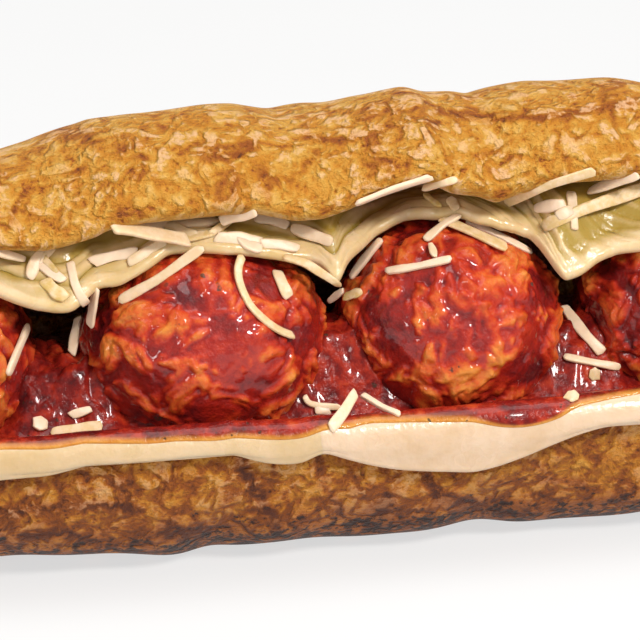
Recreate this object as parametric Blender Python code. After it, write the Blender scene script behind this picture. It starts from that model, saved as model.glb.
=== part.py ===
"""A meatball submarine sandwich, standing open on a table.

A crusty roll is slit along its front and hinged at its back. Four meatballs lie in a
trough pressed into both halves, in tomato sauce, on two slices of melted cheese that
droop over the front edge. Four more slices are draped over the balls, and shreds of
cheese are scattered over everything that shows.

X runs along the roll, the open side faces -Y and Z is up. The origin is on the table,
under the middle of the sandwich. All sizes are in metres.
"""

import math
from collections import namedtuple

import bmesh
import bpy
import numpy as np
from mathutils import Vector
from mathutils.bvhtree import BVHTree

MM = 0.001

# The roll, as baked: a loaf with blunt ends, cut at one height
ROLL_HALF_LENGTH = 95 * MM
ROLL_HALF_WIDTH = 31 * MM
ROLL_MIDDLE_Y = -1 * MM
CUT_HEIGHT = 23.2 * MM
BASE_DEPTH = 24.6 * MM
CROWN_DEPTH = 23.5 * MM
LEFT_FALL = 0.29
PLAN_POWER = 3.6
BASE_POWER = 3.0
CROWN_POWER = 2.3
LIP_ROUND = 0.7 * MM
SPINE_HALF_LENGTH = 83 * MM
SPINE_RADIUS = 5.2 * MM
SPINE_MIDDLE = (0, 22.6 * MM, 24.0 * MM)
SPINE_SEGMENTS = (16, 20)
ROLL_CELLS = (26, 12, 3)

# The roll, as opened: the crown turns back about an uncut strip
HINGE_Y = 22.5 * MM
OPENING = math.radians(37)
Wave = namedtuple("Wave", "x more spread")
CREST_SWELLS = (
    Wave(-34 * MM, 2.0 * MM, 9 * MM),
    Wave(-13 * MM, 1.1 * MM, 9 * MM),
    Wave(-1 * MM, 0.6 * MM, 3 * MM),
    Wave(8 * MM, -0.7 * MM, 6 * MM),
    Wave(42 * MM, 1.5 * MM, 20 * MM),
)
FOOT_SWELLS = (
    Wave(-45 * MM, -0.6 * MM, 20 * MM),
    Wave(-20 * MM, -0.9 * MM, 4 * MM),
    Wave(8 * MM, -0.5 * MM, 5 * MM),
    Wave(22 * MM, -1.2 * MM, 5 * MM),
    Wave(45 * MM, 0.8 * MM, 14 * MM),
)

# The filling lies round one axis, which bends back a little towards both ends
AXIS_Y = -11 * MM
AXIS_Z = 31.2 * MM
AXIS_BEND = 2 * MM
AXIS_BEND_AT = 60 * MM

# The trough that the filling has pressed into both halves of the crumb
TROUGH_RADIUS = 21.0 * MM
BED_Z = AXIS_Z - 0.8 * MM
CROWN_TROUGH_RADIUS = 23.1 * MM
TROUGH_STRAIGHT = 70 * MM
TROUGH_END = 20 * MM

Ball = namedtuple("Ball", "x half radius seed")
BALLS = (
    Ball(-61.6 * MM, 17.0 * MM, 16.8 * MM, 11),
    Ball(-18.6 * MM, 19.2 * MM, 17.2 * MM, 12),
    Ball(19.6 * MM, 17.6 * MM, 17.5 * MM, 13),
    Ball(57.6 * MM, 17.4 * MM, 16.8 * MM, 14),
)
BALL_SEGMENTS = (20, 12)
LUMP = 0.25 * MM
LUMP_WAVE = 11 * MM

GAP = 0.35 * MM
CHEESE_THICK = 1.7 * MM

# The lower slices: from behind the balls, over the front edge of the base and down
LOWER_CLEAR = 1.0 * MM
LOWER_BACK = math.radians(-48)
LOWER_FRONT = math.radians(58)
LOWER_REACH = 79 * MM
LOWER_CELLS = (14, 13, 1)
LIP_RISE = 3.4 * MM
LIP_BULGE = 0.4 * MM
SLICE_SEAM = -4.6 * MM
EDGE_ALLOWANCE = 1.7 * MM
LEAST_DROOP = 0.7 * MM

# The upper slices: over the tops of the balls, sagging into the gaps between them
UPPER_CLEAR = 1.1 * MM
SAG_RADIUS = 14.5 * MM
SAG_POWER = 8
UPPER_BACK = math.radians(-62)
BACK_GAP = 2.7 * MM
BACK_FROM = 2.5 * MM
BACK_TO = 11 * MM
UPPER_CELLS = (10, 8, 2)
Slice = namedtuple("Slice", "x_from x_to")
UPPER_SLICES = (
    Slice(-78 * MM, -35.7 * MM),
    Slice(-35.3 * MM, 0.4 * MM),
    Slice(0.8 * MM, 36.1 * MM),
    Slice(36.5 * MM, 76 * MM),
)

# The eye that sees the open side, and the middle of its view: places seen from there are
# millimetres to the right and up in the plane through that middle
VIEW_MIDDLE = (0, -8 * MM, 32.2 * MM)
VIEW_DISTANCE = 600 * MM
VIEW_RISE = math.radians(21)
VIEW_TURN = math.radians(10)
VIEW_ROLL = math.radians(0.8)

# The front edge of the upper slices, from left to right as seen
UPPER_EDGE = (
    (-84, 2), (-78, 4), (-70, 8), (-63, 10.5), (-56, 8), (-49.6, 4.3), (-44.2, 2.5), (-40.5, 2.0),
    (-38.3, 2.2), (-36.4, 3.9), (-34.4, 5.9), (-31.2, 6.2), (-27.9, 7.9), (-25.7, 9.3), (-23.6, 11),
    (-15.2, 11), (-8.7, 10.4), (-1, 9.7), (1.4, 7.6), (2.6, 5.7), (4.2, 9.8), (6.2, 11.6),
    (8.4, 13.8), (10.9, 15.2), (13.2, 16.3), (17.7, 16.3), (21.5, 16.7), (23.9, 15.8), (28.2, 14.6),
    (32.6, 13.5), (35, 10.4), (37.5, 6.7), (40.6, 7.9), (42.6, 9.6), (45.6, 11), (49.6, 11.5),
    (58, 12), (66, 10), (72, 8), (84, 8),
)

# The front lip of the roll's top half, from left to right as seen
LIP_LINE = (
    (-90, 9), (-70, 10.5), (-49.6, 11.2), (-42.5, 11.0), (-39.2, 11.8), (-34.4, 13.3), (-32.7, 14.4),
    (-26.4, 15.7), (-20.2, 16.3), (-14.3, 16.9), (-9.3, 17.1), (-3.4, 15.8), (0.9, 16.1), (5.3, 17.8),
    (9.6, 20.2), (15.5, 21.9), (17.7, 22.3), (21.1, 20.3), (25.3, 19.8), (27.9, 18.6), (30.7, 19.8),
    (37.2, 21.9), (43.7, 22.3), (49.6, 22.8), (70, 22), (90, 20),
)

# The hanging edge of the lower slices, from left to right as seen
LOWER_EDGE = (
    (-84, -27), (-65, -26.5), (-49.6, -25.0), (-42.0, -24.3), (-39.8, -23.7), (-35.7, -22.6),
    (-30.8, -21.9), (-25.7, -21.5), (-18.6, -20.8), (-13.2, -21.1), (-9.9, -22.2), (-5.6, -22.6),
    (-2.0, -22.2), (-0.5, -20.6), (-0.2, -20.5), (3.1, -21.5), (7.4, -22.6), (11.8, -23.3),
    (15.5, -23.4), (23.1, -23.6), (26.8, -22.8), (30.7, -21.5), (35.0, -19.7), (39.4, -18.0),
    (43.7, -16.7), (49.6, -16.3), (60, -16.5), (72, -17), (84, -17),
)

# The sauce stands in the trough up to one level, round the balls
SAUCE_LEVEL = 21.8 * MM
SAUCE_LEAST = 0.6 * MM
SAUCE_CLEAR = 0.6 * MM
SAUCE_REACH = 80 * MM
SAUCE_SPREAD = math.radians(60)
SAUCE_CELLS = (38, 6, 1)
Saddle = namedtuple("Saddle", "x rise spread")
SADDLES = (
    Saddle(-41.2 * MM, 9.0 * MM, 8.0 * MM),
    Saddle(1.3 * MM, 10.6 * MM, 8.0 * MM),
    Saddle(38.7 * MM, 8.4 * MM, 7.0 * MM),
)
SADDLE_FRONT = -14.5 * MM
SADDLE_TOP = -5 * MM
SADDLE_BACK = 13 * MM

# Cheese shreds: strips sunk a little into what carries them, along places seen from the eye
SHRED_THICK = 1.3 * MM
SHRED_SUNK = 0.5 * MM
SHRED_CELLS = (3, 1, 1)
RIM_ROUND = 0.35 * MM
ARC_RADIUS = 18 * MM
Shred = namedtuple("Shred", "carrier width path")
SHREDS = (
    Shred("cheese_upper_1", 1.3, ((-49.6, 8.9), (-45.6, 7.9))),
    Shred("cheese_upper_1", 1.7, ((-44.0, 9.1), (-39.4, 5.9))),
    Shred("cheese_upper_1", 1.9, ((-43.2, 6.2), (-39.2, 3.6))),
    Shred("cheese_upper_1", 1.4, ((-39.4, 10.2), (-37.6, 5.0))),
    Shred("cheese_upper_2", 1.6, ((-32.2, 13.2), (-24.6, 13.4))),
    Shred("cheese_upper_2", 1.7, ((-33.6, 9.2), (-27.6, 10.9))),
    Shred("cheese_upper_2", 1.5, ((-29.0, 8.9), (-24.2, 12.0))),
    Shred("cheese_upper_2", 1.8, ((-23.6, 12.6), (-16.6, 13.6))),
    Shred("cheese_upper_2", 1.9, ((-16.0, 12.6), (-9.6, 12.3))),
    Shred("cheese_upper_2", 1.7, ((-9.0, 11.9), (-3.4, 11.2))),
    Shred("cheese_upper_2", 1.7, ((-15.5, 14.6), (-10.2, 15.2))),
    Shred("cheese_upper_2", 1.6, ((-10.0, 14.6), (-5.4, 13.6))),
    Shred("cheese_upper_2", 1.9, ((-4.7, 13.2), (0.0, 11.6))),
    Shred("cheese_upper_3", 1.3, ((6.4, 15.6), (10.8, 17.6), (15.6, 18.6))),
    Shred("cheese_upper_3", 0.9, ((16.1, 19.2), (18.7, 17.6))),
    Shred("cheese_upper_3", 1.6, ((20.2, 19.4), (21.4, 17.4))),
    Shred("cheese_upper_3", 1.6, ((27.6, 16.6), (34.4, 16.2))),
    Shred("cheese_upper_4", 1.9, ((38.8, 15.4), (42.0, 16.4))),
    Shred("cheese_upper_4", 1.8, ((38.4, 12.6), (44.0, 14.4), (49.6, 16.2))),
    Shred("cheese_upper_4", 1.7, ((44.2, 17.0), (49.8, 18.6))),
    Shred("meatball_1", 1.4, ((-46.2, -0.6), (-48.7, -8.8))),
    Shred("meatball_2", 1.6, ((-31.6, 2.6), (-26.2, 5.8), (-20.8, 9.0))),
    Shred("meatball_2", 1.7, ((-34.2, 3.4), (-35.1, -1.8))),
    Shred("meatball_2", 1.5, ((-34.2, -2.9), (-34.4, -7.4))),
    Shred("meatball_2", 1.3, ((-12.7, 8.4), (-12.6, 5.6), (-10.9, 2.0), (-8.2, -0.5), (-3.6, -2.6))),
    Shred("meatball_2", 1.9, ((-6.8, 7.4), (-4.8, 3.6))),
    Shred("meatball_2", 1.3, ((-5.6, 8.0), (-3.2, 6.8), (-1.4, 5.2))),
    Shred("meatball_3", 1.5, ((3.9, 3.4), (6.7, 4.5))),
    Shred("meatball_3", 1.5, ((10.4, 12.0), (5.6, 6.4))),
    Shred("meatball_3", 1.1, ((9.9, 7.4), (20.8, 9.5))),
    Shred("meatball_3", 1.3, ((16.1, 12.1), (20.2, 14.6))),
    Shred("meatball_3", 2.1, ((20.4, 13.4), (29.0, 10.2))),
    Shred("meatball_4", 1.7, ((42.0, 0.4), (45.0, -5.0))),
    Shred("sauce", 2.4, ((-43.9, -16.0), (-42.2, -16.2))),
    Shred("sauce", 1.6, ((-39.9, -16.8), (-34.6, -15.8))),
    Shred("sauce", 0.9, ((-0.3, -13.2), (1.0, -14.0), (2.8, -14.1))),
    Shred("sauce", 1.6, ((3.6, -13.2), (1.4, -15.8))),
    Shred("sauce", 1.2, ((36.6, -6.6), (39.8, -7.0))),
    Shred("sauce", 2.0, ((37.4, -12.0), (39.2, -12.2))),
)

# More shreds, strewn at random over the ends
Strewn = namedtuple("Strewn", "carrier left right low high count")
STREWN = (
    Strewn("cheese_upper_1", -74, -52, 4, 9.5, 6),
    Strewn("cheese_upper_4", 52, 74, 8, 16, 6),
    Strewn("meatball_1", -72, -52, -8, 6, 3),
    Strewn("meatball_4", 50, 72, -8, 8, 3),
)
STREWN_LENGTH = (4.5, 9.0)
STREWN_WIDTH = (1.2, 1.9)
STREWN_CLEAR = 2.0 * MM
STREWN_SEED = 77

MATERIALS = {
    "crust": ((0.62, 0.31, 0.09), 0.65),
    "meatball": ((0.40, 0.07, 0.03), 0.30),
    "sauce": ((0.42, 0.04, 0.02), 0.20),
    "cheese": ((0.83, 0.66, 0.42), 0.35),
}


def ripples(points, wave, seed, count=12):
    """A random field with a spread of about 1: sine waves of one length, in directions drawn from seed."""
    draw = np.random.default_rng(seed)
    ways = draw.normal(size=(count, 3))
    ways *= 2 * math.pi / wave / np.linalg.norm(ways, axis=1, keepdims=True)
    phases = draw.uniform(0, 2 * math.pi, count)
    return np.sin(points @ ways.T + phases).sum(axis=1) * math.sqrt(2 / count)


def block(cells):
    """A cube from -1 to 1, cut into cells along each axis."""
    bm = bmesh.new()
    bmesh.ops.create_cube(bm, size=2)
    for axis, count in enumerate(cells):
        edges = [e for e in bm.edges if abs(e.verts[0].co[axis] - e.verts[1].co[axis]) > 1]
        bmesh.ops.subdivide_edges(bm, edges=edges, cuts=count - 1, use_grid_fill=True)
    return bm


def corners(bm):
    """The vertices' places, one row each."""
    return np.array([v.co for v in bm.verts], float)


def place(bm, points):
    """Moves the vertices to new places."""
    for vertex, point in zip(bm.verts, points):
        vertex.co = point


def material(name):
    """A Principled material with the colour and roughness of that food."""
    colour, roughness = MATERIALS[name]
    made = bpy.data.materials.get(name) or bpy.data.materials.new(name)
    made.use_nodes = True
    shader = made.node_tree.nodes["Principled BSDF"]
    shader.inputs["Base Color"].default_value = (*colour, 1)
    shader.inputs["Roughness"].default_value = roughness
    return made


def finish(bm, name, food, collection):
    """Turns the bmesh into an object with flat outward triangles, smooth shading and a material."""
    bmesh.ops.triangulate(bm, faces=bm.faces)
    if bm.calc_volume(signed=True) < 0:
        bmesh.ops.reverse_faces(bm, faces=bm.faces)
    mesh = bpy.data.meshes.new(name)
    bm.to_mesh(mesh)
    bm.free()
    mesh.shade_smooth()
    mesh.materials.append(material(food))
    made = bpy.data.objects.new(name, mesh)
    collection.objects.link(made)
    return made


def combine(target, others, operation):
    """Joins others to target, or cuts them from it, in one Boolean, and removes them."""
    bpy.context.view_layer.update()
    modifier = target.modifiers.new(operation.title(), "BOOLEAN")
    modifier.operation = operation
    modifier.operand_type = "COLLECTION"
    modifier.solver = "EXACT"
    modifier.collection = others
    graph = bpy.context.evaluated_depsgraph_get()
    joined = bpy.data.meshes.new_from_object(target.evaluated_get(graph))
    target.modifiers.clear()
    target.data = joined
    for helper in list(others.objects):
        bpy.data.objects.remove(helper)


def axis_y(x):
    """Where the filling's axis is, from front to back, at x."""
    return AXIS_Y + AXIS_BEND * (x / AXIS_BEND_AT) ** 2


def trough_radius(x, radius):
    """The trough's radius at x: straight in the middle, closing in a quarter round at each end."""
    past = np.maximum(np.abs(x) - TROUGH_STRAIGHT, 0) / TROUGH_END
    return radius * np.sqrt(np.clip(1 - past**2, 0, 1))


def half_loaf(block_points, depth, power):
    """Half a loaf from a half block, u and v from -1 to 1 and w from 0 to 1.

    A point keeps its share of the way from the centre out to the skin, which is where
    ((|x|^p + |y|^p)^(q/p) + |z|^q) = 1, with p the plan's power and q the dome's.
    """
    u, v, w = np.abs(block_points).T
    share = np.maximum(np.maximum(u, v), w)
    reach = ((u**PLAN_POWER + v**PLAN_POWER) ** (power / PLAN_POWER) + w**power) ** (1 / power)
    scale = np.divide(share, reach, out=np.ones_like(share), where=reach > 0)
    return block_points * scale[:, None] * (ROLL_HALF_LENGTH, ROLL_HALF_WIDTH, depth)


def smooth_step(low, high, value):
    """0 below low, 1 above high and 3t^2 - 2t^3 between."""
    t = np.clip((value - low) / (high - low), 0, 1)
    return t * t * (3 - 2 * t)


def waves(rows, x):
    """The sum of soft bumps along x, each with its own place, height and spread."""
    return sum(row.more * np.exp(-(((x - row.x) / row.spread) ** 2)) for row in rows)


def crust_relief(points, on_skin, seed, rows=()):
    """Soft dents and swells of the skin, away from the loaf's middle line, with more at the low front."""
    out = points * (0, 1, 1)
    out /= np.maximum(np.linalg.norm(out, axis=1, keepdims=True), MM)
    swell = 0.35 * MM * ripples(points, 34 * MM, seed) + 0.22 * MM * ripples(points, 15 * MM, seed + 1)
    front = smooth_step(0, -12 * MM, points[:, 1]) * smooth_step(9 * MM, 17 * MM, points[:, 2])
    swell = swell + waves(rows, points[:, 0]) * front
    return points + out * (swell * on_skin)[:, None]


def half_roll_block():
    """The block both halves start from: w is 0 at the cut and 1 outside, with finer cells at its rims."""
    bm = block(ROLL_CELLS)
    points = corners(bm)
    points[:, 1] *= 1.25 - 0.25 * points[:, 1] ** 2
    points[:, 2] = (points[:, 2] + 1) / 2
    return bm, points


def on_rim(start):
    """1 for the block's points on the sharp front edge of the cut, 0 for the others."""
    return (start[:, 2] < 1e-6) & (start[:, 1] < -0.999)


def roll_base(collection):
    """The lower half, upside down from its block, with a trough in its cut face and a flat foot."""
    bm, start = half_roll_block()
    on_cut = start[:, 2] < 1e-6
    points = half_loaf(start, BASE_DEPTH, BASE_POWER)
    points = crust_relief(points, np.minimum(start[:, 2] * 2, 1), 21, FOOT_SWELLS)
    x = points[:, 0]
    y = points[:, 1] + ROLL_MIDDLE_Y
    z = CUT_HEIGHT - points[:, 2]
    bed = BED_Z - np.sqrt(np.maximum(trough_radius(x, TROUGH_RADIUS) ** 2 - (y - axis_y(x)) ** 2, 0))
    z = np.where(on_cut, np.minimum(z, bed), np.maximum(z, 0)) - LIP_ROUND * on_rim(start)
    place(bm, np.stack([x, y, z], axis=1))
    return finish(bm, "roll", "crust", collection)


def lip_drop(x):
    """How far the crown's front edge hangs below a straight line, so that it is seen along LIP_LINE."""
    widest = np.clip(1 - np.abs(x / ROLL_HALF_LENGTH) ** PLAN_POWER, 0, 1) ** (1 / PLAN_POWER)
    y = ROLL_MIDDLE_Y - HINGE_Y - ROLL_HALF_WIDTH * widest
    lip = np.stack([x, y * math.cos(OPENING) + HINGE_Y, CUT_HEIGHT - y * math.sin(OPENING)], axis=1)
    right, up = seen_places(lip).T
    line_x, line_up = np.transpose(LIP_LINE) * MM
    drop = (up - np.interp(right, line_x, line_up)) / math.cos(VIEW_RISE)
    return drop / (y / (2 * ROLL_HALF_WIDTH)) ** 2 * smooth_step(86 * MM, 70 * MM, np.abs(x))


def roll_crown(collection):
    """The upper half: a dome with its own trough, turned back about the hinge."""
    bm, start = half_roll_block()
    on_cut = start[:, 2] < 1e-6
    points = half_loaf(start, CROWN_DEPTH, CROWN_POWER)
    points = crust_relief(points, np.minimum(start[:, 2] * 2, 1), 31)
    x = points[:, 0]
    y = points[:, 1] + ROLL_MIDDLE_Y - HINGE_Y
    z = points[:, 2] * (1 - LEFT_FALL * np.minimum(x / ROLL_HALF_LENGTH, 0) ** 2)
    z = z + waves(CREST_SWELLS, x) * points[:, 2] / CROWN_DEPTH
    turn = np.array([[math.cos(OPENING), math.sin(OPENING)], [-math.sin(OPENING), math.cos(OPENING)]])
    back = np.stack([axis_y(x) - HINGE_Y, np.full_like(x, AXIS_Z - CUT_HEIGHT)], axis=1) @ turn
    roof = back[:, 1] + np.sqrt(
        np.maximum(trough_radius(x, CROWN_TROUGH_RADIUS) ** 2 - (y - back[:, 0]) ** 2, 0)
    )
    z = np.where(on_cut, np.maximum(z, roof), z) + LIP_ROUND * on_rim(start)
    turned = np.stack([y, z], axis=1) @ turn.T
    towards_lip = np.clip(-y / (2 * ROLL_HALF_WIDTH), 0, 1)
    drop = lip_drop(x) * towards_lip**2
    place(bm, np.stack([x, turned[:, 0] + HINGE_Y, turned[:, 1] + CUT_HEIGHT - drop], axis=1))
    return finish(bm, "crown", "crust", collection)


def roll_spine(collection):
    """The uncut strip along the back: a long round bar that both halves run into."""
    bm = bmesh.new()
    around, along = SPINE_SEGMENTS
    bmesh.ops.create_uvsphere(bm, u_segments=around, v_segments=along, radius=1)
    size = (SPINE_HALF_LENGTH, SPINE_RADIUS, SPINE_RADIUS)
    place(bm, corners(bm)[:, [2, 0, 1]] * size + SPINE_MIDDLE)
    return finish(bm, "spine", "crust", collection)


def ball_points(ball, ways, more=0.0):
    """Points of a meatball's lumpy skin in the given directions, moved out by more."""
    lumps = LUMP * ripples(ways * ball.radius, LUMP_WAVE, ball.seed)
    half, radius = ball.half + lumps + more, ball.radius + lumps + more
    centre = (ball.x, float(axis_y(ball.x)), AXIS_Z)
    return centre + ways * np.stack([half, radius, radius], axis=1)


def meatball(ball, name, collection, more=0.0):
    """A meatball: a sphere with its poles towards its neighbours, drawn out and made lumpy."""
    bm = bmesh.new()
    around, along = BALL_SEGMENTS
    bmesh.ops.create_uvsphere(bm, u_segments=around, v_segments=along, radius=1)
    place(bm, ball_points(ball, corners(bm)[:, [2, 0, 1]], more))
    return finish(bm, name, "meatball", collection)


def drape_radius(x):
    """How far the filling's top is from its axis: each ball's section, and SAG_RADIUS in the gaps."""
    total = SAG_RADIUS**SAG_POWER
    for ball in BALLS:
        section = ball.radius * np.sqrt(np.maximum(1 - ((x - ball.x) / ball.half) ** 2, 0))
        total = total + section**SAG_POWER
    return total ** (1 / SAG_POWER)


def back_radius(x):
    """How far from the axis the slices lie where the crown presses on them: less where its lip hangs."""
    roof = trough_radius(x, CROWN_TROUGH_RADIUS) - BACK_GAP - 0.5 * np.maximum(lip_drop(x), 0)
    return np.maximum(roof, drape_radius(x) + UPPER_CLEAR)


def view_axes():
    """Unit vectors of the view: back to the eye, to the right and up."""
    turn, rise = VIEW_TURN, VIEW_RISE
    back = np.array([-math.sin(turn) * math.cos(rise), -math.cos(turn) * math.cos(rise), math.sin(rise)])
    level = np.array([math.cos(turn), -math.sin(turn), 0])
    upward = np.cross(back, level)
    right = level * math.cos(VIEW_ROLL) - upward * math.sin(VIEW_ROLL)
    above = upward * math.cos(VIEW_ROLL) + level * math.sin(VIEW_ROLL)
    return back, right, above


def seen_places(points):
    """Where points are seen, in metres to the right and up in the plane through the view's middle."""
    back, right, above = view_axes()
    away = points - np.array(VIEW_MIDDLE) - back * VIEW_DISTANCE
    return np.stack([away @ right, away @ above], axis=-1) * (VIEW_DISTANCE / -(away @ back))[..., None]


def eye_rays(places):
    """The eye, and unit directions from it to places in millimetres to the right and up."""
    back, right, above = view_axes()
    seen = np.asarray(places, float) * MM
    ways = seen[:, :1] * right + seen[:, 1:] * above - back * VIEW_DISTANCE
    return np.array(VIEW_MIDDLE) + back * VIEW_DISTANCE, ways / np.linalg.norm(ways, axis=1, keepdims=True)


def seen_edge():
    """Where the edge's seen places lie on the drape: x and the angle from the top towards the front."""
    eye, ways = eye_rays(UPPER_EDGE)
    steps = np.linspace(VIEW_DISTANCE - 45 * MM, VIEW_DISTANCE + 60 * MM, 1500)
    points = eye + ways[:, None, :] * steps[:, None]
    x, y, z = points[..., 0], points[..., 1] - axis_y(points[..., 0]), points[..., 2] - AXIS_Z
    first = np.argmax(np.hypot(y, z) < drape_radius(x) + UPPER_CLEAR, axis=1)
    rows = np.arange(len(first))
    return x[rows, first], np.arctan2(-y[rows, first], z[rows, first])


def upper_slice(piece, name, collection):
    """A slice from under the crown to its wavy front edge, with a round rim."""
    bm = block(UPPER_CELLS)
    u, v, w = corners(bm).T
    middle, half = (piece.x_from + piece.x_to) / 2, (piece.x_to - piece.x_from) / 2
    rim = np.where(np.abs(w) > 0.5, RIM_ROUND, 0)
    x = middle + u * (half - rim)
    edge_x, edge_angle = seen_edge()
    edge = np.interp(x, edge_x, edge_angle) - rim / ARC_RADIUS
    angle = UPPER_BACK + (edge - UPPER_BACK) * (v + 1) / 2
    radius = drape_radius(x) + UPPER_CLEAR
    radius += (back_radius(x) - radius) * smooth_step(BACK_FROM, BACK_TO, (edge - angle) * ARC_RADIUS)
    radius += CHEESE_THICK * (w + 1) / 2
    place(bm, np.stack([x, axis_y(x) - np.sin(angle) * radius, AXIS_Z + np.cos(angle) * radius], axis=1))
    return finish(bm, name, "cheese", collection)


def crust_front(x, depth):
    """The front skin of the base: y at x and at a depth below the cut."""
    across = np.clip(1 - (depth / BASE_DEPTH) ** BASE_POWER, 0, 1) ** (PLAN_POWER / BASE_POWER)
    across = np.maximum(across - np.abs(x / ROLL_HALF_LENGTH) ** PLAN_POWER, 0.01)
    return ROLL_MIDDLE_Y - ROLL_HALF_WIDTH * across ** (1 / PLAN_POWER)


def seen_droop():
    """Where the lower slices' seen edge lies on the base's front skin: x and the depth below the cut."""
    eye, ways = eye_rays(LOWER_EDGE)
    steps = np.linspace(VIEW_DISTANCE - 45 * MM, VIEW_DISTANCE + 60 * MM, 3000)
    points = eye + ways[:, None, :] * steps[:, None]
    x, y, depth = points[..., 0], points[..., 1], CUT_HEIGHT - points[..., 2]
    first = np.argmax(y > crust_front(x, np.clip(depth, 0, BASE_DEPTH)), axis=1)
    rows = np.arange(len(first))
    return x[rows, first], depth[rows, first] - EDGE_ALLOWANCE


def droop(x):
    """How far down the crust the lower slices hang at x."""
    return np.maximum(np.interp(x, *seen_droop()), LEAST_DROOP)


def lower_path(x, share):
    """The bread under the lower slices: share 0 to 0.6 in the trough, then over the lip and down."""
    angle = LOWER_BACK + (LOWER_FRONT - LOWER_BACK) * np.clip(share / 0.6, 0, 1)
    radius = trough_radius(x, TROUGH_RADIUS)
    bed = np.stack([axis_y(x) - radius * np.sin(angle), BED_Z - radius * np.cos(angle)], axis=1)
    hang = droop(x)
    first = np.minimum(1.5 * MM, hang / 2)
    down = first + (hang - first) * np.clip((share - 0.75) / 0.25, 0, 1)
    skin = np.stack([crust_front(x, down), CUT_HEIGHT - down], axis=1)
    lip = np.stack([crust_front(x, 0 * x) - LIP_BULGE, np.full_like(x, CUT_HEIGHT + LIP_RISE)], axis=1)
    t = np.clip((share - 0.6) / 0.15, 0, 1)[:, None]
    return (1 - t) ** 2 * bed + 2 * t * (1 - t) * lip + t**2 * skin


def lower_slice(x_from, x_to, name, collection):
    """A slice laid in the trough and bent over the front lip, a steady distance off the bread."""
    bm = block(LOWER_CELLS)
    u, v, w = corners(bm).T
    rim = np.where(np.abs(w) > 0.5, RIM_ROUND, 0)
    x = (x_from + x_to) / 2 + u * ((x_to - x_from) / 2 - rim)
    share = (v + 1) / 2 * (1 - rim / (40 * MM))
    step = 0.004
    path = lower_path(x, share)
    along = lower_path(x, share + step) - lower_path(x, share - step)
    along /= np.linalg.norm(along, axis=1, keepdims=True)
    lift = LOWER_CLEAR + CHEESE_THICK * (w + 1) / 2
    path += np.stack([along[:, 1], -along[:, 0]], axis=1) * lift[:, None]
    place(bm, np.stack([x, path[:, 0], path[:, 1]], axis=1))
    return finish(bm, name, "cheese", collection)


def saddle(x, ahead):
    """How far the sauce rises between two balls, at a distance ahead (less than 0) of the axis."""
    rise = sum(row.rise * np.exp(-(((x - row.x) / row.spread) ** 4)) for row in SADDLES)
    return rise * smooth_step(SADDLE_FRONT, SADDLE_TOP, ahead) * smooth_step(SADDLE_BACK, 4 * MM, ahead)


def sauce_pool(collection):
    """The pool: one level, higher between the balls, round below and hollowed by the balls."""
    bm = block(SAUCE_CELLS)
    u, v, w = corners(bm).T
    x = u * SAUCE_REACH
    radius = trough_radius(x, TROUGH_RADIUS) - LOWER_CLEAR - CHEESE_THICK - SAUCE_CLEAR
    y = v * radius * math.sin(SAUCE_SPREAD)
    floor = BED_Z - np.sqrt(radius**2 - y**2)
    top = np.maximum(SAUCE_LEVEL + saddle(x, y), floor + SAUCE_LEAST)
    place(bm, np.stack([x, axis_y(x) + y, np.where(w > 0, top, floor)], axis=1))
    pool = finish(bm, "sauce", "sauce", collection)
    hollows = bpy.data.collections.new("hollows")
    for number, ball in enumerate(BALLS, 1):
        meatball(ball, f"hollow_{number}", hollows, more=GAP)
    combine(pool, hollows, "DIFFERENCE")
    return pool


def surface_tree(target):
    """A tree for finding the nearest place on an object, or the one that a ray meets."""
    bm = bmesh.new()
    bm.from_mesh(target.data)
    tree = BVHTree.FromBMesh(bm)
    bm.free()
    return tree


def landing(path, tree):
    """Where a seen path lies on a surface, at even stations, with the surface's normals."""
    path = np.array(path, float)
    run = np.concatenate([[0], np.cumsum(np.linalg.norm(np.diff(path, axis=0), axis=1))])
    even = np.linspace(0, run[-1], SHRED_CELLS[0] + 1)
    eye, ways = eye_rays(np.stack([np.interp(even, run, path[:, axis]) for axis in (0, 1)], axis=1))
    hits = [tree.ray_cast(Vector(eye), Vector(way)) for way in ways]
    if any(hit[0] is None for hit in hits):
        return None
    return np.array([hit[0] for hit in hits]), np.array([hit[1] for hit in hits])


def shred(line, normals, width, name, collection):
    """A strip along a line on a surface, sunk a little into it and narrower at its ends."""
    bm = block(SHRED_CELLS)
    u, v, w = corners(bm).T
    ways = np.gradient(line, axis=0)
    ways /= np.linalg.norm(ways, axis=1, keepdims=True)
    normals = normals + normals.mean(axis=0) * 2
    across = np.cross(normals, ways)
    across /= np.linalg.norm(across, axis=1, keepdims=True)
    out = np.cross(ways, across)
    station = np.round((u + 1) / 2 * SHRED_CELLS[0]).astype(int)
    half = width / 2 * (1 - 0.35 * np.abs(u) ** 4)
    height = SHRED_THICK * (w + 1) / 2 - SHRED_SUNK
    place(bm, line[station] + across[station] * (v * half)[:, None] + out[station] * height[:, None])
    return finish(bm, name, "cheese", collection)


def strewn_paths(row, tree, others, draw):
    """Random short paths within the row's bounds, as far as they land clear of the other pieces."""
    found = []
    for _ in range(40 * row.count):
        start = draw.uniform((row.left, row.low), (row.right, row.high))
        turn, length = draw.uniform(0, math.pi), draw.uniform(*STREWN_LENGTH)
        end = start + length * np.array([math.cos(turn), math.sin(turn)])
        landed = landing((start, end), tree)
        if landed is None or np.linalg.norm(landed[0][-1] - landed[0][0]) > 1.5 * length * MM:
            continue
        spots = [Vector(spot) for spot in landed[0]]
        near = min(other.find_nearest(spot)[3] for other in others for spot in spots)
        apart = all(np.linalg.norm(landed[0][2] - old[0][2]) > 2 * STREWN_CLEAR for old in found)
        if near > STREWN_CLEAR and apart:
            found.append(landed)
        if len(found) == row.count:
            break
    return found


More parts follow.
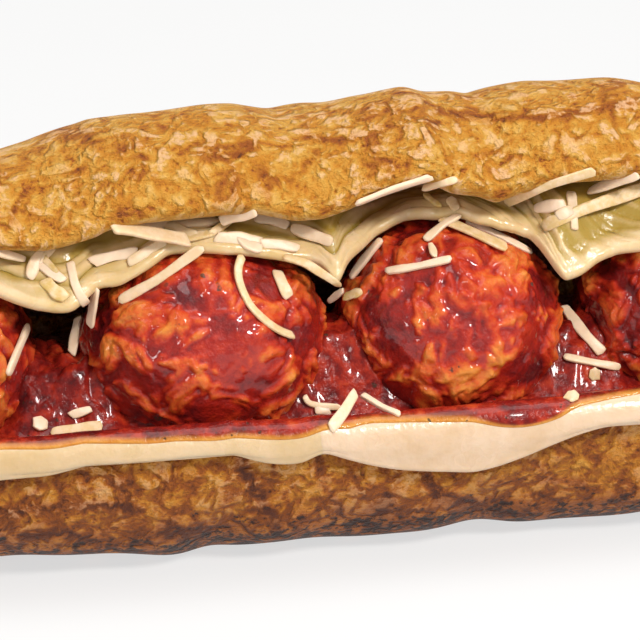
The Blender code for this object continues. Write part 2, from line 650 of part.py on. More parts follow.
def add_shreds(collection):
    """Fuses every shred to the piece that carries it."""
    trees = {piece.name: surface_tree(piece) for piece in collection.objects}
    strips = {}
    for row in SHREDS:
        landed = landing(row.path, trees[row.carrier])
        if landed is None:
            raise ValueError(f"a shred at {row.path[0]} misses {row.carrier}")
        strips.setdefault(row.carrier, []).append((*landed, row.width * MM))
    draw = np.random.default_rng(STREWN_SEED)
    for row in STREWN:
        others = [tree for name, tree in trees.items() if name != row.carrier]
        for landed in strewn_paths(row, trees[row.carrier], others, draw):
            strips.setdefault(row.carrier, []).append((*landed, draw.uniform(*STREWN_WIDTH) * MM))
    for carrier, rows in strips.items():
        toppings = bpy.data.collections.new(f"toppings_{carrier}")
        for number, (line, normals, width) in enumerate(rows, 1):
            shred(line, normals, width, f"{carrier}_shred_{number}", toppings)
        combine(collection.objects[carrier], toppings, "UNION")


def clear_scene():
    """Removes whatever the file opened with."""
    for thing in list(bpy.data.objects):
        bpy.data.objects.remove(thing)


def main():
    clear_scene()
    sandwich = bpy.data.collections.new("submarine_sandwich")
    bpy.context.scene.collection.children.link(sandwich)
    roll = roll_base(sandwich)
    halves = bpy.data.collections.new("halves")
    roll_crown(halves)
    roll_spine(halves)
    combine(roll, halves, "UNION")
    for number, ball in enumerate(BALLS, 1):
        meatball(ball, f"meatball_{number}", sandwich)
    for number, piece in enumerate(UPPER_SLICES, 1):
        upper_slice(piece, f"cheese_upper_{number}", sandwich)
    lower_slice(-LOWER_REACH, SLICE_SEAM - GAP, "cheese_lower_1", sandwich)
    lower_slice(SLICE_SEAM + GAP, LOWER_REACH, "cheese_lower_2", sandwich)
    sauce_pool(sandwich)
    add_shreds(sandwich)


main()
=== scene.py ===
import math
from collections import namedtuple

import bmesh
import bpy
import numpy as np
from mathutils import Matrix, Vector
from mathutils.bvhtree import BVHTree


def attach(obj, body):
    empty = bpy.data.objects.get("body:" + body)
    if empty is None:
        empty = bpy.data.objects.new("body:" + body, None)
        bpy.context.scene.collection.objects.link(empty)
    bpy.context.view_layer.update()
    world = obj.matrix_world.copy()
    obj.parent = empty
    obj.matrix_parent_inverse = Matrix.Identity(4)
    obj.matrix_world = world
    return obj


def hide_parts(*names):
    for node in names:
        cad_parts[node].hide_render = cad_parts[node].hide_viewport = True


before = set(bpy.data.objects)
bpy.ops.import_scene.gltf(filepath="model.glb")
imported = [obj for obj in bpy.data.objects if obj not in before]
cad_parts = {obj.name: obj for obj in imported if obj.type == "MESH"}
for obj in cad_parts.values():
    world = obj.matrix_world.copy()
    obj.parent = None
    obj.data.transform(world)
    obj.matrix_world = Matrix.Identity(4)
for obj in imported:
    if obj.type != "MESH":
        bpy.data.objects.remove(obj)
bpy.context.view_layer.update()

MM = 0.001

# The roll, as baked: a loaf with blunt ends, cut at one height
ROLL_HALF_LENGTH = 95 * MM
ROLL_HALF_WIDTH = 31 * MM
ROLL_MIDDLE_Y = -1 * MM
CUT_HEIGHT = 23.2 * MM
BASE_DEPTH = 24.6 * MM
CROWN_DEPTH = 23.5 * MM
LEFT_FALL = 0.29
PLAN_POWER = 3.6
BASE_POWER = 3.0
CROWN_POWER = 2.3
SPINE_HALF_LENGTH = 83 * MM
SPINE_RADIUS = 5.2 * MM
SPINE_MIDDLE = (0, 22.6 * MM, 24.0 * MM)
LIP_BELL = 6.0
LIP_PASSES = 14

# The roll, as opened
HINGE_Y = 22.5 * MM
OPENING = math.radians(37)
Wave = namedtuple("Wave", "x more spread")
CREST_SWELLS = (
    Wave(-34 * MM, 2.0 * MM, 9 * MM),
    Wave(-13 * MM, 1.1 * MM, 9 * MM),
    Wave(-1 * MM, 0.6 * MM, 3 * MM),
    Wave(8 * MM, -0.7 * MM, 6 * MM),
    Wave(42 * MM, 1.5 * MM, 20 * MM),
)
FOOT_SWELLS = (
    Wave(-45 * MM, -0.6 * MM, 20 * MM),
    Wave(-20 * MM, -0.9 * MM, 4 * MM),
    Wave(8 * MM, -0.5 * MM, 5 * MM),
    Wave(22 * MM, -1.2 * MM, 5 * MM),
    Wave(45 * MM, 0.8 * MM, 14 * MM),
)

# The filling's axis, the trough that it lies in, and the meatballs
AXIS_Y = -11 * MM
AXIS_Z = 31.2 * MM
AXIS_BEND = 2 * MM
AXIS_BEND_AT = 60 * MM
TROUGH_RADIUS = 21.0 * MM
BED_Z = AXIS_Z - 0.8 * MM
CROWN_TROUGH_RADIUS = 23.1 * MM
TROUGH_STRAIGHT = 70 * MM
TROUGH_END = 20 * MM
Ball = namedtuple("Ball", "x half radius seed")
BALLS = (
    Ball(-61.6 * MM, 17.0 * MM, 16.8 * MM, 11),
    Ball(-18.6 * MM, 19.2 * MM, 17.2 * MM, 12),
    Ball(19.6 * MM, 17.6 * MM, 17.5 * MM, 13),
    Ball(57.6 * MM, 17.4 * MM, 16.8 * MM, 14),
)
LUMP = 0.25 * MM
LUMP_WAVE = 11 * MM

# The cheese slices and the sauce
CHEESE_THICK = 1.7 * MM
LOWER_CLEAR = 1.0 * MM
LOWER_BACK = math.radians(-48)
LOWER_FRONT = math.radians(58)
LOWER_REACH = 79 * MM
TROUGH_SHARE = 0.6
LIP_SHARE = 0.15
PATH_STEPS = 400
PATH_BELL = 14
PATH_LENGTH = 40 * MM
SHEET_SINK = 0.35 * MM
SHEET_CAP = 9
SLICE_OVERLAP = 0.4 * MM
LIP_RISE = 3.4 * MM
LIP_BULGE = 0.4 * MM
SLICE_SEAM = -4.6 * MM
EDGE_ALLOWANCE = 1.7 * MM
LEAST_DROOP = 0.7 * MM
UPPER_CLEAR = 1.1 * MM
SAG_RADIUS = 14.5 * MM
SAG_POWER = 8
UPPER_BACK = math.radians(-62)
BACK_GAP = 2.7 * MM
BACK_FROM = 2.5 * MM
BACK_TO = 11 * MM
ARC_RADIUS = 18 * MM
STRAND_SEED = 300
Slice = namedtuple("Slice", "x_from x_to")
UPPER_SLICES = (
    Slice(-78 * MM, -35.7 * MM),
    Slice(-35.3 * MM, 0.4 * MM),
    Slice(0.8 * MM, 36.1 * MM),
    Slice(36.5 * MM, 76 * MM),
)
SAUCE_LEVEL = 21.8 * MM
SAUCE_REACH = 80 * MM
Saddle = namedtuple("Saddle", "x rise spread")
SADDLES = (
    Saddle(-41.2 * MM, 9.0 * MM, 8.0 * MM),
    Saddle(1.3 * MM, 10.6 * MM, 8.0 * MM),
    Saddle(38.7 * MM, 8.4 * MM, 7.0 * MM),
)
SADDLE_FRONT = -14.5 * MM
SADDLE_TOP = -5 * MM
SADDLE_END = 4 * MM
SADDLE_BACK = 13 * MM
REAR_COLUMNS = 11
UNDER_STEP = 3

# The eye that sees the open side, and the middle of its view: places seen from there are
# millimetres to the right and up in the plane through that middle
VIEW_MIDDLE = (0, -8 * MM, 32.2 * MM)
VIEW_DISTANCE = 600 * MM
VIEW_HALF_WIDTH = 49.6 * MM
VIEW_RISE = math.radians(21)
VIEW_TURN = math.radians(10)
VIEW_ROLL = math.radians(0.8)
SENSOR_WIDTH = 36
RAY_NEAR = 45 * MM
RAY_FAR = 60 * MM
RAY_STEPS = 3000

# The front edge of the upper slices, from left to right as seen
UPPER_EDGE = (
    (-84, 2), (-78, 4), (-70, 8), (-63, 10.5), (-56, 8), (-49.6, 4.3), (-44.2, 2.5), (-40.5, 2.0),
    (-38.3, 2.2), (-36.4, 3.9), (-34.4, 5.9), (-31.2, 6.2), (-27.9, 7.9), (-25.7, 9.3), (-23.6, 11),
    (-15.2, 11), (-8.7, 10.4), (-1, 9.7), (1.4, 7.6), (2.6, 5.7), (4.2, 9.8), (6.2, 11.6),
    (8.4, 13.8), (10.9, 15.2), (13.2, 16.3), (17.7, 16.3), (21.5, 16.7), (23.9, 15.8), (28.2, 14.6),
    (32.6, 13.5), (35, 10.4), (37.5, 6.7), (40.6, 7.9), (42.6, 9.6), (45.6, 11), (49.6, 11.5),
    (58, 12), (66, 10), (72, 8), (84, 8),
)

# The front lip of the roll's top half, from left to right as seen
LIP_LINE = (
    (-90, 9), (-70, 10.5), (-49.6, 11.2), (-42.5, 11.0), (-39.2, 11.8), (-34.4, 13.3), (-32.7, 14.4),
    (-26.4, 15.7), (-20.2, 16.3), (-14.3, 16.9), (-9.3, 17.1), (-3.4, 15.8), (0.9, 16.1), (5.3, 17.8),
    (9.6, 20.2), (15.5, 21.9), (17.7, 22.3), (21.1, 20.3), (25.3, 19.8), (27.9, 18.6), (30.7, 19.8),
    (37.2, 21.9), (43.7, 22.3), (49.6, 22.8), (70, 22), (90, 20),
)

# The hanging edge of the lower slices, from left to right as seen
LOWER_EDGE = (
    (-84, -27), (-65, -26.5), (-49.6, -25.0), (-42.0, -24.3), (-39.8, -23.7), (-35.7, -22.6),
    (-30.8, -21.9), (-25.7, -21.5), (-18.6, -20.8), (-13.2, -21.1), (-9.9, -22.2), (-5.6, -22.6),
    (-2.0, -22.2), (-0.5, -20.6), (-0.2, -20.5), (3.1, -21.5), (7.4, -22.6), (11.8, -23.3),
    (15.5, -23.4), (23.1, -23.6), (26.8, -22.8), (30.7, -21.5), (35.0, -19.7), (39.4, -18.0),
    (43.7, -16.7), (49.6, -16.3), (60, -16.5), (72, -17), (84, -17),
)

# Clefts in the crust: width and depth in mm and the path as seen
Cleft = namedtuple("Cleft", "width depth path")
CROWN_CLEFTS = (
    Cleft(0.45, 0.9, ((-45.3, 20.5), (-47.0, 17.8), (-48.4, 14.3))),
    Cleft(0.55, 0.9, ((18.6, 32.4), (23.4, 31.3), (34.1, 31.3), (42.0, 32.6), (48.7, 33.8))),
    Cleft(0.9, 0.9, ((-28.9, 22.6), (-28.5, 22.2))),
    Cleft(0.7, 0.7, ((7.6, 27.6), (8.2, 27.1))),
    Cleft(1.2, 0.8, ((-39.0, 28.6), (-36.2, 28.3), (-34.6, 27.4))),
    Cleft(0.5, 0.6, ((-16.5, 25.5), (-14.2, 24.6), (-13.0, 22.0), (-13.4, 19.0))),
    Cleft(0.5, 0.5, ((-8.6, 24.0), (-7.6, 21.0), (-8.0, 18.6))),
    Cleft(0.5, 0.5, ((-2.0, 28.6), (3.0, 27.6), (5.4, 28.2))),
    Cleft(0.5, 0.5, ((24.0, 25.0), (27.0, 26.2), (29.5, 25.2))),
    Cleft(0.45, 0.5, ((36.0, 27.2), (38.0, 25.6), (38.6, 23.4))),
)
BASE_CLEFTS = (
    Cleft(0.8, 1.5, ((-12.2, -21.5), (-11.9, -23.4), (-9.3, -27.1), (-8.7, -29.0), (-6.7, -31.5),
                     (-6.4, -34.2))),
    Cleft(0.6, 1.0, ((-0.3, -21.9), (0.5, -25.4), (2.8, -28.7), (3.3, -30.2))),
    Cleft(1.1, 1.9, ((10.4, -28.2), (9.3, -29.8), (9.6, -32.6))),
    Cleft(0.9, 1.5, ((16.7, -24.6), (18.4, -27.4), (22.0, -28.7), (27.0, -29.3), (32.0, -29.4))),
    Cleft(0.7, 1.0, ((-49.6, -29.8), (-42.0, -29.0), (-34.1, -28.7), (-28.0, -29.4))),
    Cleft(0.9, 1.3, ((-24.0, -32.6), (-20.6, -33.4), (-18.0, -32.8))),
    Cleft(0.5, 0.7, ((-33.0, -24.6), (-30.6, -26.4), (-31.0, -29.0))),
    Cleft(0.5, 0.7, ((34.0, -22.6), (36.0, -24.8), (41.0, -25.4))),
    Cleft(0.6, 0.8, ((-46.0, -33.6), (-40.0, -33.0), (-36.0, -33.8))),
    Cleft(0.6, 0.8, ((36.0, -29.6), (42.0, -28.4), (47.0, -27.6))),
)

# The sauce's front edge on the lower slices, from left to right as seen
SAUCE_EDGE = (
    (-80, -24.0), (-70, -22.8), (-60, -21.6), (-49.6, -20.0), (-40.9, -20.0), (-32.2, -19.2),
    (-25.7, -19.2), (-22.5, -18.8), (-15.5, -18.8), (-9.9, -18.4), (-0.2, -17.5), (4.2, -16.9),
    (7.4, -16.0), (15.5, -15.8), (24.2, -15.8), (28.5, -16.7), (31.8, -16.7), (35.0, -16.0),
    (39.4, -13.6), (43.7, -12.7), (49.6, -11.5), (60, -10.4), (70, -9.6), (80, -8.8),
)

# Cheese shreds: width in mm and the path as seen
Shred = namedtuple("Shred", "width path")
SHREDS = (
    Shred(1.3, ((-51.6, 10.9), (-45.6, 9.3))),
    Shred(1.7, ((-44.0, 9.1), (-41.6, 7.2), (-39.4, 5.9))),
    Shred(2.0, ((-42.9, 6.2), (-40.9, 4.2), (-39.0, 3.2))),
    Shred(1.4, ((-38.8, 9.1), (-38.0, 5.4), (-36.4, 2.4))),
    Shred(1.8, ((-34.4, 5.3), (-35.0, 2.0), (-35.5, -1.2))),
    Shred(1.5, ((-37.2, 0.5), (-37.8, -2.2), (-38.4, -5.7))),
    Shred(1.4, ((-45.3, -0.6), (-46.8, -4.2), (-48.7, -8.8))),
    Shred(1.6, ((-31.6, 2.6), (-25.0, 6.2), (-17.7, 11.6))),
    Shred(2.5, ((-32.9, 14.6), (-27.6, 13.6), (-20.0, 12.2))),
    Shred(1.5, ((-30.0, 8.6), (-26.8, 10.6), (-23.8, 12.4))),
    Shred(1.7, ((-35.8, 8.8), (-32.0, 9.9), (-28.0, 10.5))),
    Shred(1.8, ((-24.0, 12.2), (-20.0, 12.8), (-16.3, 13.4))),
    Shred(1.9, ((-16.6, 12.7), (-12.6, 12.6), (-9.0, 11.9))),
    Shred(1.7, ((-9.6, 11.8), (-6.4, 11.6), (-3.1, 10.9))),
    Shred(1.8, ((-22.6, 14.6), (-18.6, 14.9), (-15.6, 15.4))),
    Shred(1.7, ((-15.5, 15.2), (-12.4, 16.1), (-9.6, 16.9))),
    Shred(1.6, ((-10.4, 15.8), (-7.6, 15.4), (-4.8, 14.4))),
    Shred(1.9, ((-4.7, 14.3), (-1.4, 13.2), (2.2, 11.9))),
    Shred(1.3, ((-11.8, 10.5), (-13.0, 8.2), (-12.6, 5.6), (-10.9, 2.0), (-8.2, -0.5), (-6.0, -2.0),
                (-3.6, -2.6))),
    Shred(1.9, ((-6.8, 7.6), (-5.8, 5.4), (-4.8, 3.4))),
    Shred(1.3, ((-6.0, 9.9), (-2.3, 9.0), (0.8, 7.0), (3.4, 5.4))),
    Shred(1.5, ((3.7, 3.4), (6.7, 4.5))),
    Shred(1.1, ((1.2, 2.9), (3.9, 4.7))),
    Shred(1.3, ((5.0, 18.0), (11.0, 20.4), (17.7, 22.5))),
    Shred(1.1, ((16.0, 20.3), (21.4, 21.9))),
    Shred(1.1, ((17.1, 11.9), (18.0, 9.5))),
    Shred(1.2, ((9.9, 7.4), (15.0, 8.2), (20.8, 9.5))),
    Shred(1.6, ((9.9, 12.7), (7.4, 9.8), (4.7, 6.2))),
    Shred(0.9, ((16.1, 19.5), (17.6, 18.2), (18.9, 17.4))),
    Shred(1.6, ((20.0, 18.9), (21.2, 16.9))),
    Shred(1.3, ((16.1, 12.1), (19.0, 14.6), (21.7, 16.3))),
    Shred(2.2, ((18.4, 15.8), (23.0, 13.8), (29.3, 10.9))),
    Shred(1.3, ((22.3, 15.3), (27.6, 13.0), (33.0, 10.2))),
    Shred(1.6, ((28.4, 18.1), (35.6, 21.2), (43.1, 23.3))),
    Shred(1.9, ((33.3, 17.2), (38.1, 18.0))),
    Shred(1.9, ((41.4, 19.8), (49.6, 22.8))),
    Shred(2.0, ((34.1, 14.3), (41.0, 17.2), (51.6, 20.8))),
    Shred(1.7, ((37.5, 2.3), (40.6, -1.8), (44.0, -5.4))),
    Shred(1.3, ((37.4, -5.6), (42.0, -6.6), (46.8, -7.4))),
    Shred(2.2, ((41.6, -8.3), (43.2, -8.6))),
    Shred(2.8, ((38.0, -11.8), (40.2, -12.1))),
    Shred(2.4, ((-44.0, -15.0), (-42.8, -17.2))),
    Shred(1.9, ((-42.0, -17.5), (-38.0, -17.1), (-33.5, -16.4))),
    Shred(1.5, ((-38.9, -14.9), (-35.3, -13.8))),
    Shred(1.0, ((-2.5, -11.5), (-1.9, -12.9), (0.0, -13.4), (3.6, -13.6))),
    Shred(1.7, ((5.6, -11.0), (3.6, -14.4), (1.4, -17.2))),
    Shred(1.0, ((6.4, -11.6), (9.6, -13.6), (12.7, -14.9))),
    Shred(1.2, ((-0.9, -14.0), (1.6, -14.3))),
)

# How the shreds are made, and the bounds and counts of those strewn where none is seen singly
SHRED_THICK = 0.75 * MM
SHRED_STATIONS = 26
SHRED_ROUND = 16
Strewn = namedtuple("Strewn", "left right low high count")
STREWN = (
    Strewn(-78, -54, -4, 12, 16),
    Strewn(52, 76, -6, 18, 16),
    Strewn(-47, -36, 3.5, 10, 3),
    Strewn(-33, -8, 10.5, 14.5, 4),
    Strewn(25, 48, 13, 20, 2),
)
STREWN_SEED = 77

# The cheese's colours where it is pale, warm and deep, as linear red, green and blue; the deep colour is
# painted shade, and the shaded tones are a darker copy of the lower tones, painted shade for the left lower
# slice
UPPER_TONES = ((0.74, 0.55, 0.33), (0.60, 0.41, 0.15), (0.38, 0.25, 0.045))
LOWER_TONES = ((0.72, 0.53, 0.37), (0.62, 0.42, 0.25), (0.60, 0.42, 0.20))
SHADED_TONES = ((0.66, 0.48, 0.29), (0.57, 0.395, 0.20), (0.55, 0.39, 0.16))

# The soft light, with places and sizes in metres
Lamp = namedtuple("Lamp", "name place size power colour")
LAMPS = (
    Lamp("key", (0.42, -0.68, 0.76), 0.20, 9.8, (1.0, 0.97, 0.93)),
    Lamp("fill", (-0.75, -0.75, 0.42), 0.20, 2.0, (1.0, 0.98, 0.96)),
    Lamp("top", (-0.05, 0.05, 1.0), 0.80, 6.5, (1.0, 1.0, 1.0)),
)
LAMP_TARGET = (0, 0, 30 * MM)
SURROUND_COLOUR = (1.0, 0.99, 0.97, 1)
SURROUND_STRENGTH = 0.38
FLOOR_HALF = 4


# Shapes that the pieces share

def lattice_noise(points, cell, seed):
    """Smooth noise from about -1 to 1.

    Each corner of a lattice of cubes has a random slope; the slopes' heights at a point are
    blended by 6t^5 - 15t^4 + 10t^3 along each axis.
    """
    draw = np.random.default_rng(seed)
    shuffle = draw.permutation(256)
    slopes = draw.normal(size=(256, 3))
    slopes /= np.linalg.norm(slopes, axis=1, keepdims=True)
    grid = points / cell
    low = np.floor(grid).astype(int)
    part = grid - low
    fade = part**3 * (part * (part * 6 - 15) + 10)
    total = np.zeros(points.shape[:-1])
    for corner in np.ndindex(2, 2, 2):
        at = (low + corner) & 255
        pick = shuffle[(shuffle[(shuffle[at[..., 0]] + at[..., 1]) & 255] + at[..., 2]) & 255]
        weight = np.prod(np.where(corner, fade, 1 - fade), axis=-1)
        total += weight * np.einsum("...j,...j->...", slopes[pick], part - corner)
    return total * 1.7


def fractal(points, cell, seed, octaves=3, gain=0.5):
    """Lattice noise summed over octaves, each half as long and gain times as strong as the last."""
    total = np.zeros(points.shape[:-1])
    for octave in range(octaves):
        total += lattice_noise(points, cell / 2**octave, seed + octave) * gain**octave
    return total


def creases(points, cell, seed):
    """Ridged noise from 0 to 1 that is 0 along sharp creases: the size of lattice noise."""
    return np.minimum(np.abs(lattice_noise(points, cell, seed)) * 2, 1)


def warped(points, *layers):
    """Points moved about by lattice noise: each layer has a cell, a seed for each axis and a reach."""
    moves = [np.stack([lattice_noise(points, cell, seed) for seed in seeds], axis=-1) * reach
             for cell, seeds, reach in layers]
    return points + sum(moves)


def ripples(points, wave, seed, count=12):
    """A random field with a spread of about 1: sine waves of one length, in directions drawn from seed."""
    draw = np.random.default_rng(seed)
    ways = draw.normal(size=(count, 3))
    ways *= 2 * math.pi / wave / np.linalg.norm(ways, axis=1, keepdims=True)
    phases = draw.uniform(0, 2 * math.pi, count)
    return np.sin(points @ ways.T + phases).sum(axis=-1) * math.sqrt(2 / count)


def smooth_step(low, high, value):
    """0 below low, 1 above high and 3t^2 - 2t^3 between."""
    t = np.clip((value - low) / (high - low), 0, 1)
    return t * t * (3 - 2 * t)


def cleft_depth(points, rows):
    """How deep the clefts are at points: each a bell across its path, by distance in the seen plane."""
    seen = seen_places(points) / MM
    total = np.zeros(len(points))
    for row in rows:
        path = np.array(row.path)
        away = np.full(len(points), 99.0)
        for start, end in zip(path[:-1], path[1:]):
            way = end - start
            share = np.clip((seen - start) @ way / (way @ way), 0, 1)
            away = np.minimum(away, np.linalg.norm(seen - start - share[:, None] * way, axis=1))
        total = np.maximum(total, row.depth * MM * np.exp(-((away / row.width) ** 2)))
    return total


def waves(rows, x):
    """The sum of soft bumps along x, each with its own place, height and spread."""
    return sum(row.more * np.exp(-(((x - row.x) / row.spread) ** 2)) for row in rows)


def blurred(rows, spread):
    """Rows of points, each averaged with its neighbours in the row over a bell of spread samples."""
    count = rows.shape[1]
    reach = int(3 * spread)
    offsets = np.arange(-reach, reach + 1)
    weights = np.exp(-0.5 * (offsets / spread) ** 2)
    weights /= weights.sum()
    at = np.arange(count)
    total = np.zeros_like(rows)
    for offset, weight in zip(offsets, weights):
        from_ends = np.minimum(np.minimum(at, count - 1 - at), abs(offset)) * np.sign(offset)
        total += weight * rows[:, at + from_ends]
    return total


def unit(vectors):
    """The same directions with length 1."""
    return vectors / np.maximum(np.linalg.norm(vectors, axis=-1, keepdims=True), 1e-12)


def grid_normals(points):
    """Unit normals of a closed section grid, from the cross product of its two directions of travel."""
    around = np.roll(points, -1, axis=1) - np.roll(points, 1, axis=1)
    return unit(np.cross(np.gradient(points, axis=0), around))


def grid_faces(rows, columns):
    """The faces of a grid of rows by columns of points, whose columns close in a ring."""
    index = np.arange(rows * columns).reshape(rows, columns)
    after = np.roll(index, -1, axis=1)
    return np.stack([index[:-1], index[1:], after[1:], after[:-1]], axis=-1).reshape(-1, 4)


def add_piece(name, points, faces, finish, marks, merge, turn_faces=False):
    """A smooth piece on the body, points closer than merge made one, its faces turned outwards if asked.

    Each mark is a number per point, kept as an attribute.
    """
    mesh = bpy.data.meshes.new(name)
    mesh.from_pydata(points.tolist(), [], faces.tolist())
    for mark, values in marks.items():
        attribute = mesh.attributes.new(mark, "FLOAT", "POINT")
        attribute.data.foreach_set("value", np.ascontiguousarray(values, dtype=np.float32).ravel())
    bm = bmesh.new()
    bm.from_mesh(mesh)
    bmesh.ops.remove_doubles(bm, verts=bm.verts, dist=merge)
    loose = [v for v in bm.verts if not v.link_faces]
    bmesh.ops.delete(bm, geom=loose, context="VERTS")
    if turn_faces:
        bmesh.ops.recalc_face_normals(bm, faces=bm.faces)
    bm.to_mesh(mesh)
    bm.free()
    mesh.shade_smooth()
    mesh.materials.append(finish)
    piece = bpy.data.objects.new(name, mesh)
    bpy.context.scene.collection.objects.link(piece)
    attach(piece, "root")
    return piece


def grid_piece(name, points, finish, slot, node, **marks):
    """A closed piece that stands for a node: rows along it, columns round each of its sections.

    The end rows close in a point or a line, whose doubles are merged. Faces are turned
    outwards by the sign of the volume.
    """
    quads = grid_faces(*points.shape[:2])
    flat = points.reshape(-1, 3)
    a, b, c, d = (flat[quads[:, corner]] for corner in range(4))
    if np.einsum("ij,ij->i", a + c, np.cross(c - a, d - b)).sum() < 0:
        quads = quads[:, ::-1]
    piece = add_piece(name, flat, quads, finish, marks, 2e-6)
    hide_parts(node)
    return piece


def piece_name(node):
    """The name of the piece that stands for a node."""
    return node + "_dressed"


def even_rows(rows, count):
    """Each row of a stack of polylines, resampled at even steps of its length."""
    steps = np.linalg.norm(np.diff(rows, axis=1), axis=2)
    run = np.concatenate([np.zeros((len(rows), 1)), np.cumsum(steps, axis=1)], axis=1)
    share = np.linspace(0, 1, count)
    made = np.empty((len(rows), count, rows.shape[2]))
    for number in range(len(rows)):
        at = share * run[number, -1]
        for axis in range(rows.shape[2]):
            made[number, :, axis] = np.interp(at, run[number], rows[number, :, axis])
    return made


def at_stations(x, sections):
    """Sections of (y, z), each put at its own x."""
    return np.concatenate([np.broadcast_to(x[:, None, None], sections.shape[:2] + (1,)), sections], axis=2)


def axis_y(x):
    """Where the filling's axis is, from front to back, at x."""
    return AXIS_Y + AXIS_BEND * (x / AXIS_BEND_AT) ** 2


def trough_radius(x, radius):
    """The trough's radius at x: straight in the middle, closing in a quarter round at each end."""
    past = np.maximum(np.abs(x) - TROUGH_STRAIGHT, 0) / TROUGH_END
    return radius * np.sqrt(np.clip(1 - past**2, 0, 1))


def view_axes():
    """Unit vectors of the view: back to the eye, to the right and up."""
    turn, rise = VIEW_TURN, VIEW_RISE
    back = np.array([-math.sin(turn) * math.cos(rise), -math.cos(turn) * math.cos(rise), math.sin(rise)])
    level = np.array([math.cos(turn), -math.sin(turn), 0])
    upward = np.cross(back, level)
    right = level * math.cos(VIEW_ROLL) - upward * math.sin(VIEW_ROLL)
    above = upward * math.cos(VIEW_ROLL) + level * math.sin(VIEW_ROLL)
    return back, right, above


def seen_places(points):
    """Where points are seen, in metres to the right and up in the plane through the view's middle."""
    back, right, above = view_axes()
    away = points - np.array(VIEW_MIDDLE) - back * VIEW_DISTANCE
    return np.stack([away @ right, away @ above], axis=-1) * (VIEW_DISTANCE / -(away @ back))[..., None]


def eye_rays(places):
    """The eye, and unit directions from it to places in millimetres to the right and up."""
    back, right, above = view_axes()
    seen = np.asarray(places, float) * MM
    ways = seen[:, :1] * right + seen[:, 1:] * above - back * VIEW_DISTANCE
    return np.array(VIEW_MIDDLE) + back * VIEW_DISTANCE, unit(ways)


def ray_points(places):
    """Points along the eye's rays to seen places, from before the food to behind it."""
    eye, ways = eye_rays(places)
    steps = np.linspace(VIEW_DISTANCE - RAY_NEAR, VIEW_DISTANCE + RAY_FAR, RAY_STEPS)
    return eye + ways[:, None, :] * steps[:, None]


def soft_line(x, known_x, known_y, spread):
    """A broken line through known points, softened by averaging over a bell of that spread."""
    offsets = np.linspace(-2, 2, 17) * spread
    weights = np.exp(-0.5 * (offsets / spread) ** 2)
    samples = np.interp(x[..., None] + offsets, known_x, known_y)
    return samples @ weights / weights.sum()


# Finishes

class Value:
    """A number in a material: Python's arithmetic on it adds Math nodes."""

    def __init__(self, finish, socket):
        self.finish = finish
        self.socket = socket

    def math(self, operation, first, second=0.0, clamp=False):
        settings = {"operation": operation, "use_clamp": clamp}
        return self.finish.node("ShaderNodeMath", settings, {0: first, 1: second})

    def __add__(self, other):
        return self.math("ADD", self, other)

    def __sub__(self, other):
        return self.math("SUBTRACT", self, other)

    def __rsub__(self, other):
        return self.math("SUBTRACT", other, self)

    def __mul__(self, other):
        return self.math("MULTIPLY", self, other)

    def fold(self):
        """Twice the distance from a half: noise becomes thin creases, 0 along each."""
        return self.math("ABSOLUTE", self - 0.5) * 2

    def clamped(self):
        return self.math("ADD", self, 0.0, clamp=True)

    def between(self, low, high):
        """0 below low, 1 above high, smooth between."""
        settings = {"interpolation_type": "SMOOTHSTEP"}
        return self.finish.node("ShaderNodeMapRange", settings, {0: self, 1: low, 2: high})

    __radd__ = __add__
    __rmul__ = __mul__


class Finish:
    """A material under construction."""

    def __init__(self, name):
        self.material = bpy.data.materials.new(name)
        self.material.use_nodes = True
        self.tree = self.material.node_tree
        self.shader = self.tree.nodes["Principled BSDF"]
        self.object_place = self.node("ShaderNodeTexCoord", output="Object")

    def connect(self, socket, value):
        if isinstance(value, Value):
            self.tree.links.new(value.socket, socket)
        else:
            socket.default_value = value

    def node(self, kind, settings=None, inputs=None, output=0):
        made = self.tree.nodes.new(kind)
        for key, value in (settings or {}).items():
            if key == "stops":
                ramp = made.color_ramp.elements
                while len(ramp) < len(value):
                    ramp.new(0.5)
                for element, (place, colour) in zip(ramp, value):
                    element.position = place
                    element.color = (*colour, 1)
            else:
                setattr(made, key, value)
        for key, value in (inputs or {}).items():
            self.connect(made.inputs[key], value)
        return Value(self, made.outputs[output])

    def mark(self, name):
        """A number that the mesh carries."""
        return self.node("ShaderNodeAttribute", {"attribute_name": name}, output="Fac")

    def noise(self, size, detail=3.0, rough=0.5, twist=0.0):
        """Noise with features of about size millimetres."""
        inputs = {"Vector": self.object_place, "Scale": 1000 / size, "Detail": detail}
        inputs |= {"Roughness": rough, "Distortion": twist}
        return self.node("ShaderNodeTexNoise", inputs=inputs)

    def spots(self, size):
        """Distance to scattered points about size millimetres apart, in shares of that."""
        inputs = {"Vector": self.object_place, "Scale": 1000 / size}
        return self.node("ShaderNodeTexVoronoi", inputs=inputs)

    def ramp(self, value, *stops):
        return self.node("ShaderNodeValToRGB", {"stops": stops}, {0: value})

    def mix(self, share, first, second):
        """Second over first by share: colours as linear triples or links."""
        full = [(*c, 1) if isinstance(c, tuple) else c for c in (first, second)]
        inputs = {0: share, 6: full[0], 7: full[1]}
        return self.node("ShaderNodeMix", {"data_type": "RGBA"}, inputs, output=2)

    def bump(self, height, distance, strength):
        """A normal bent by a height of 0 to 1 that stands for distance millimetres."""
        inputs = {"Height": height, "Distance": distance * MM, "Strength": strength}
        return self.node("ShaderNodeBump", inputs=inputs)

    def set(self, **inputs):
        for name, value in inputs.items():
            self.connect(self.shader.inputs[name.replace("_", " ")], value)


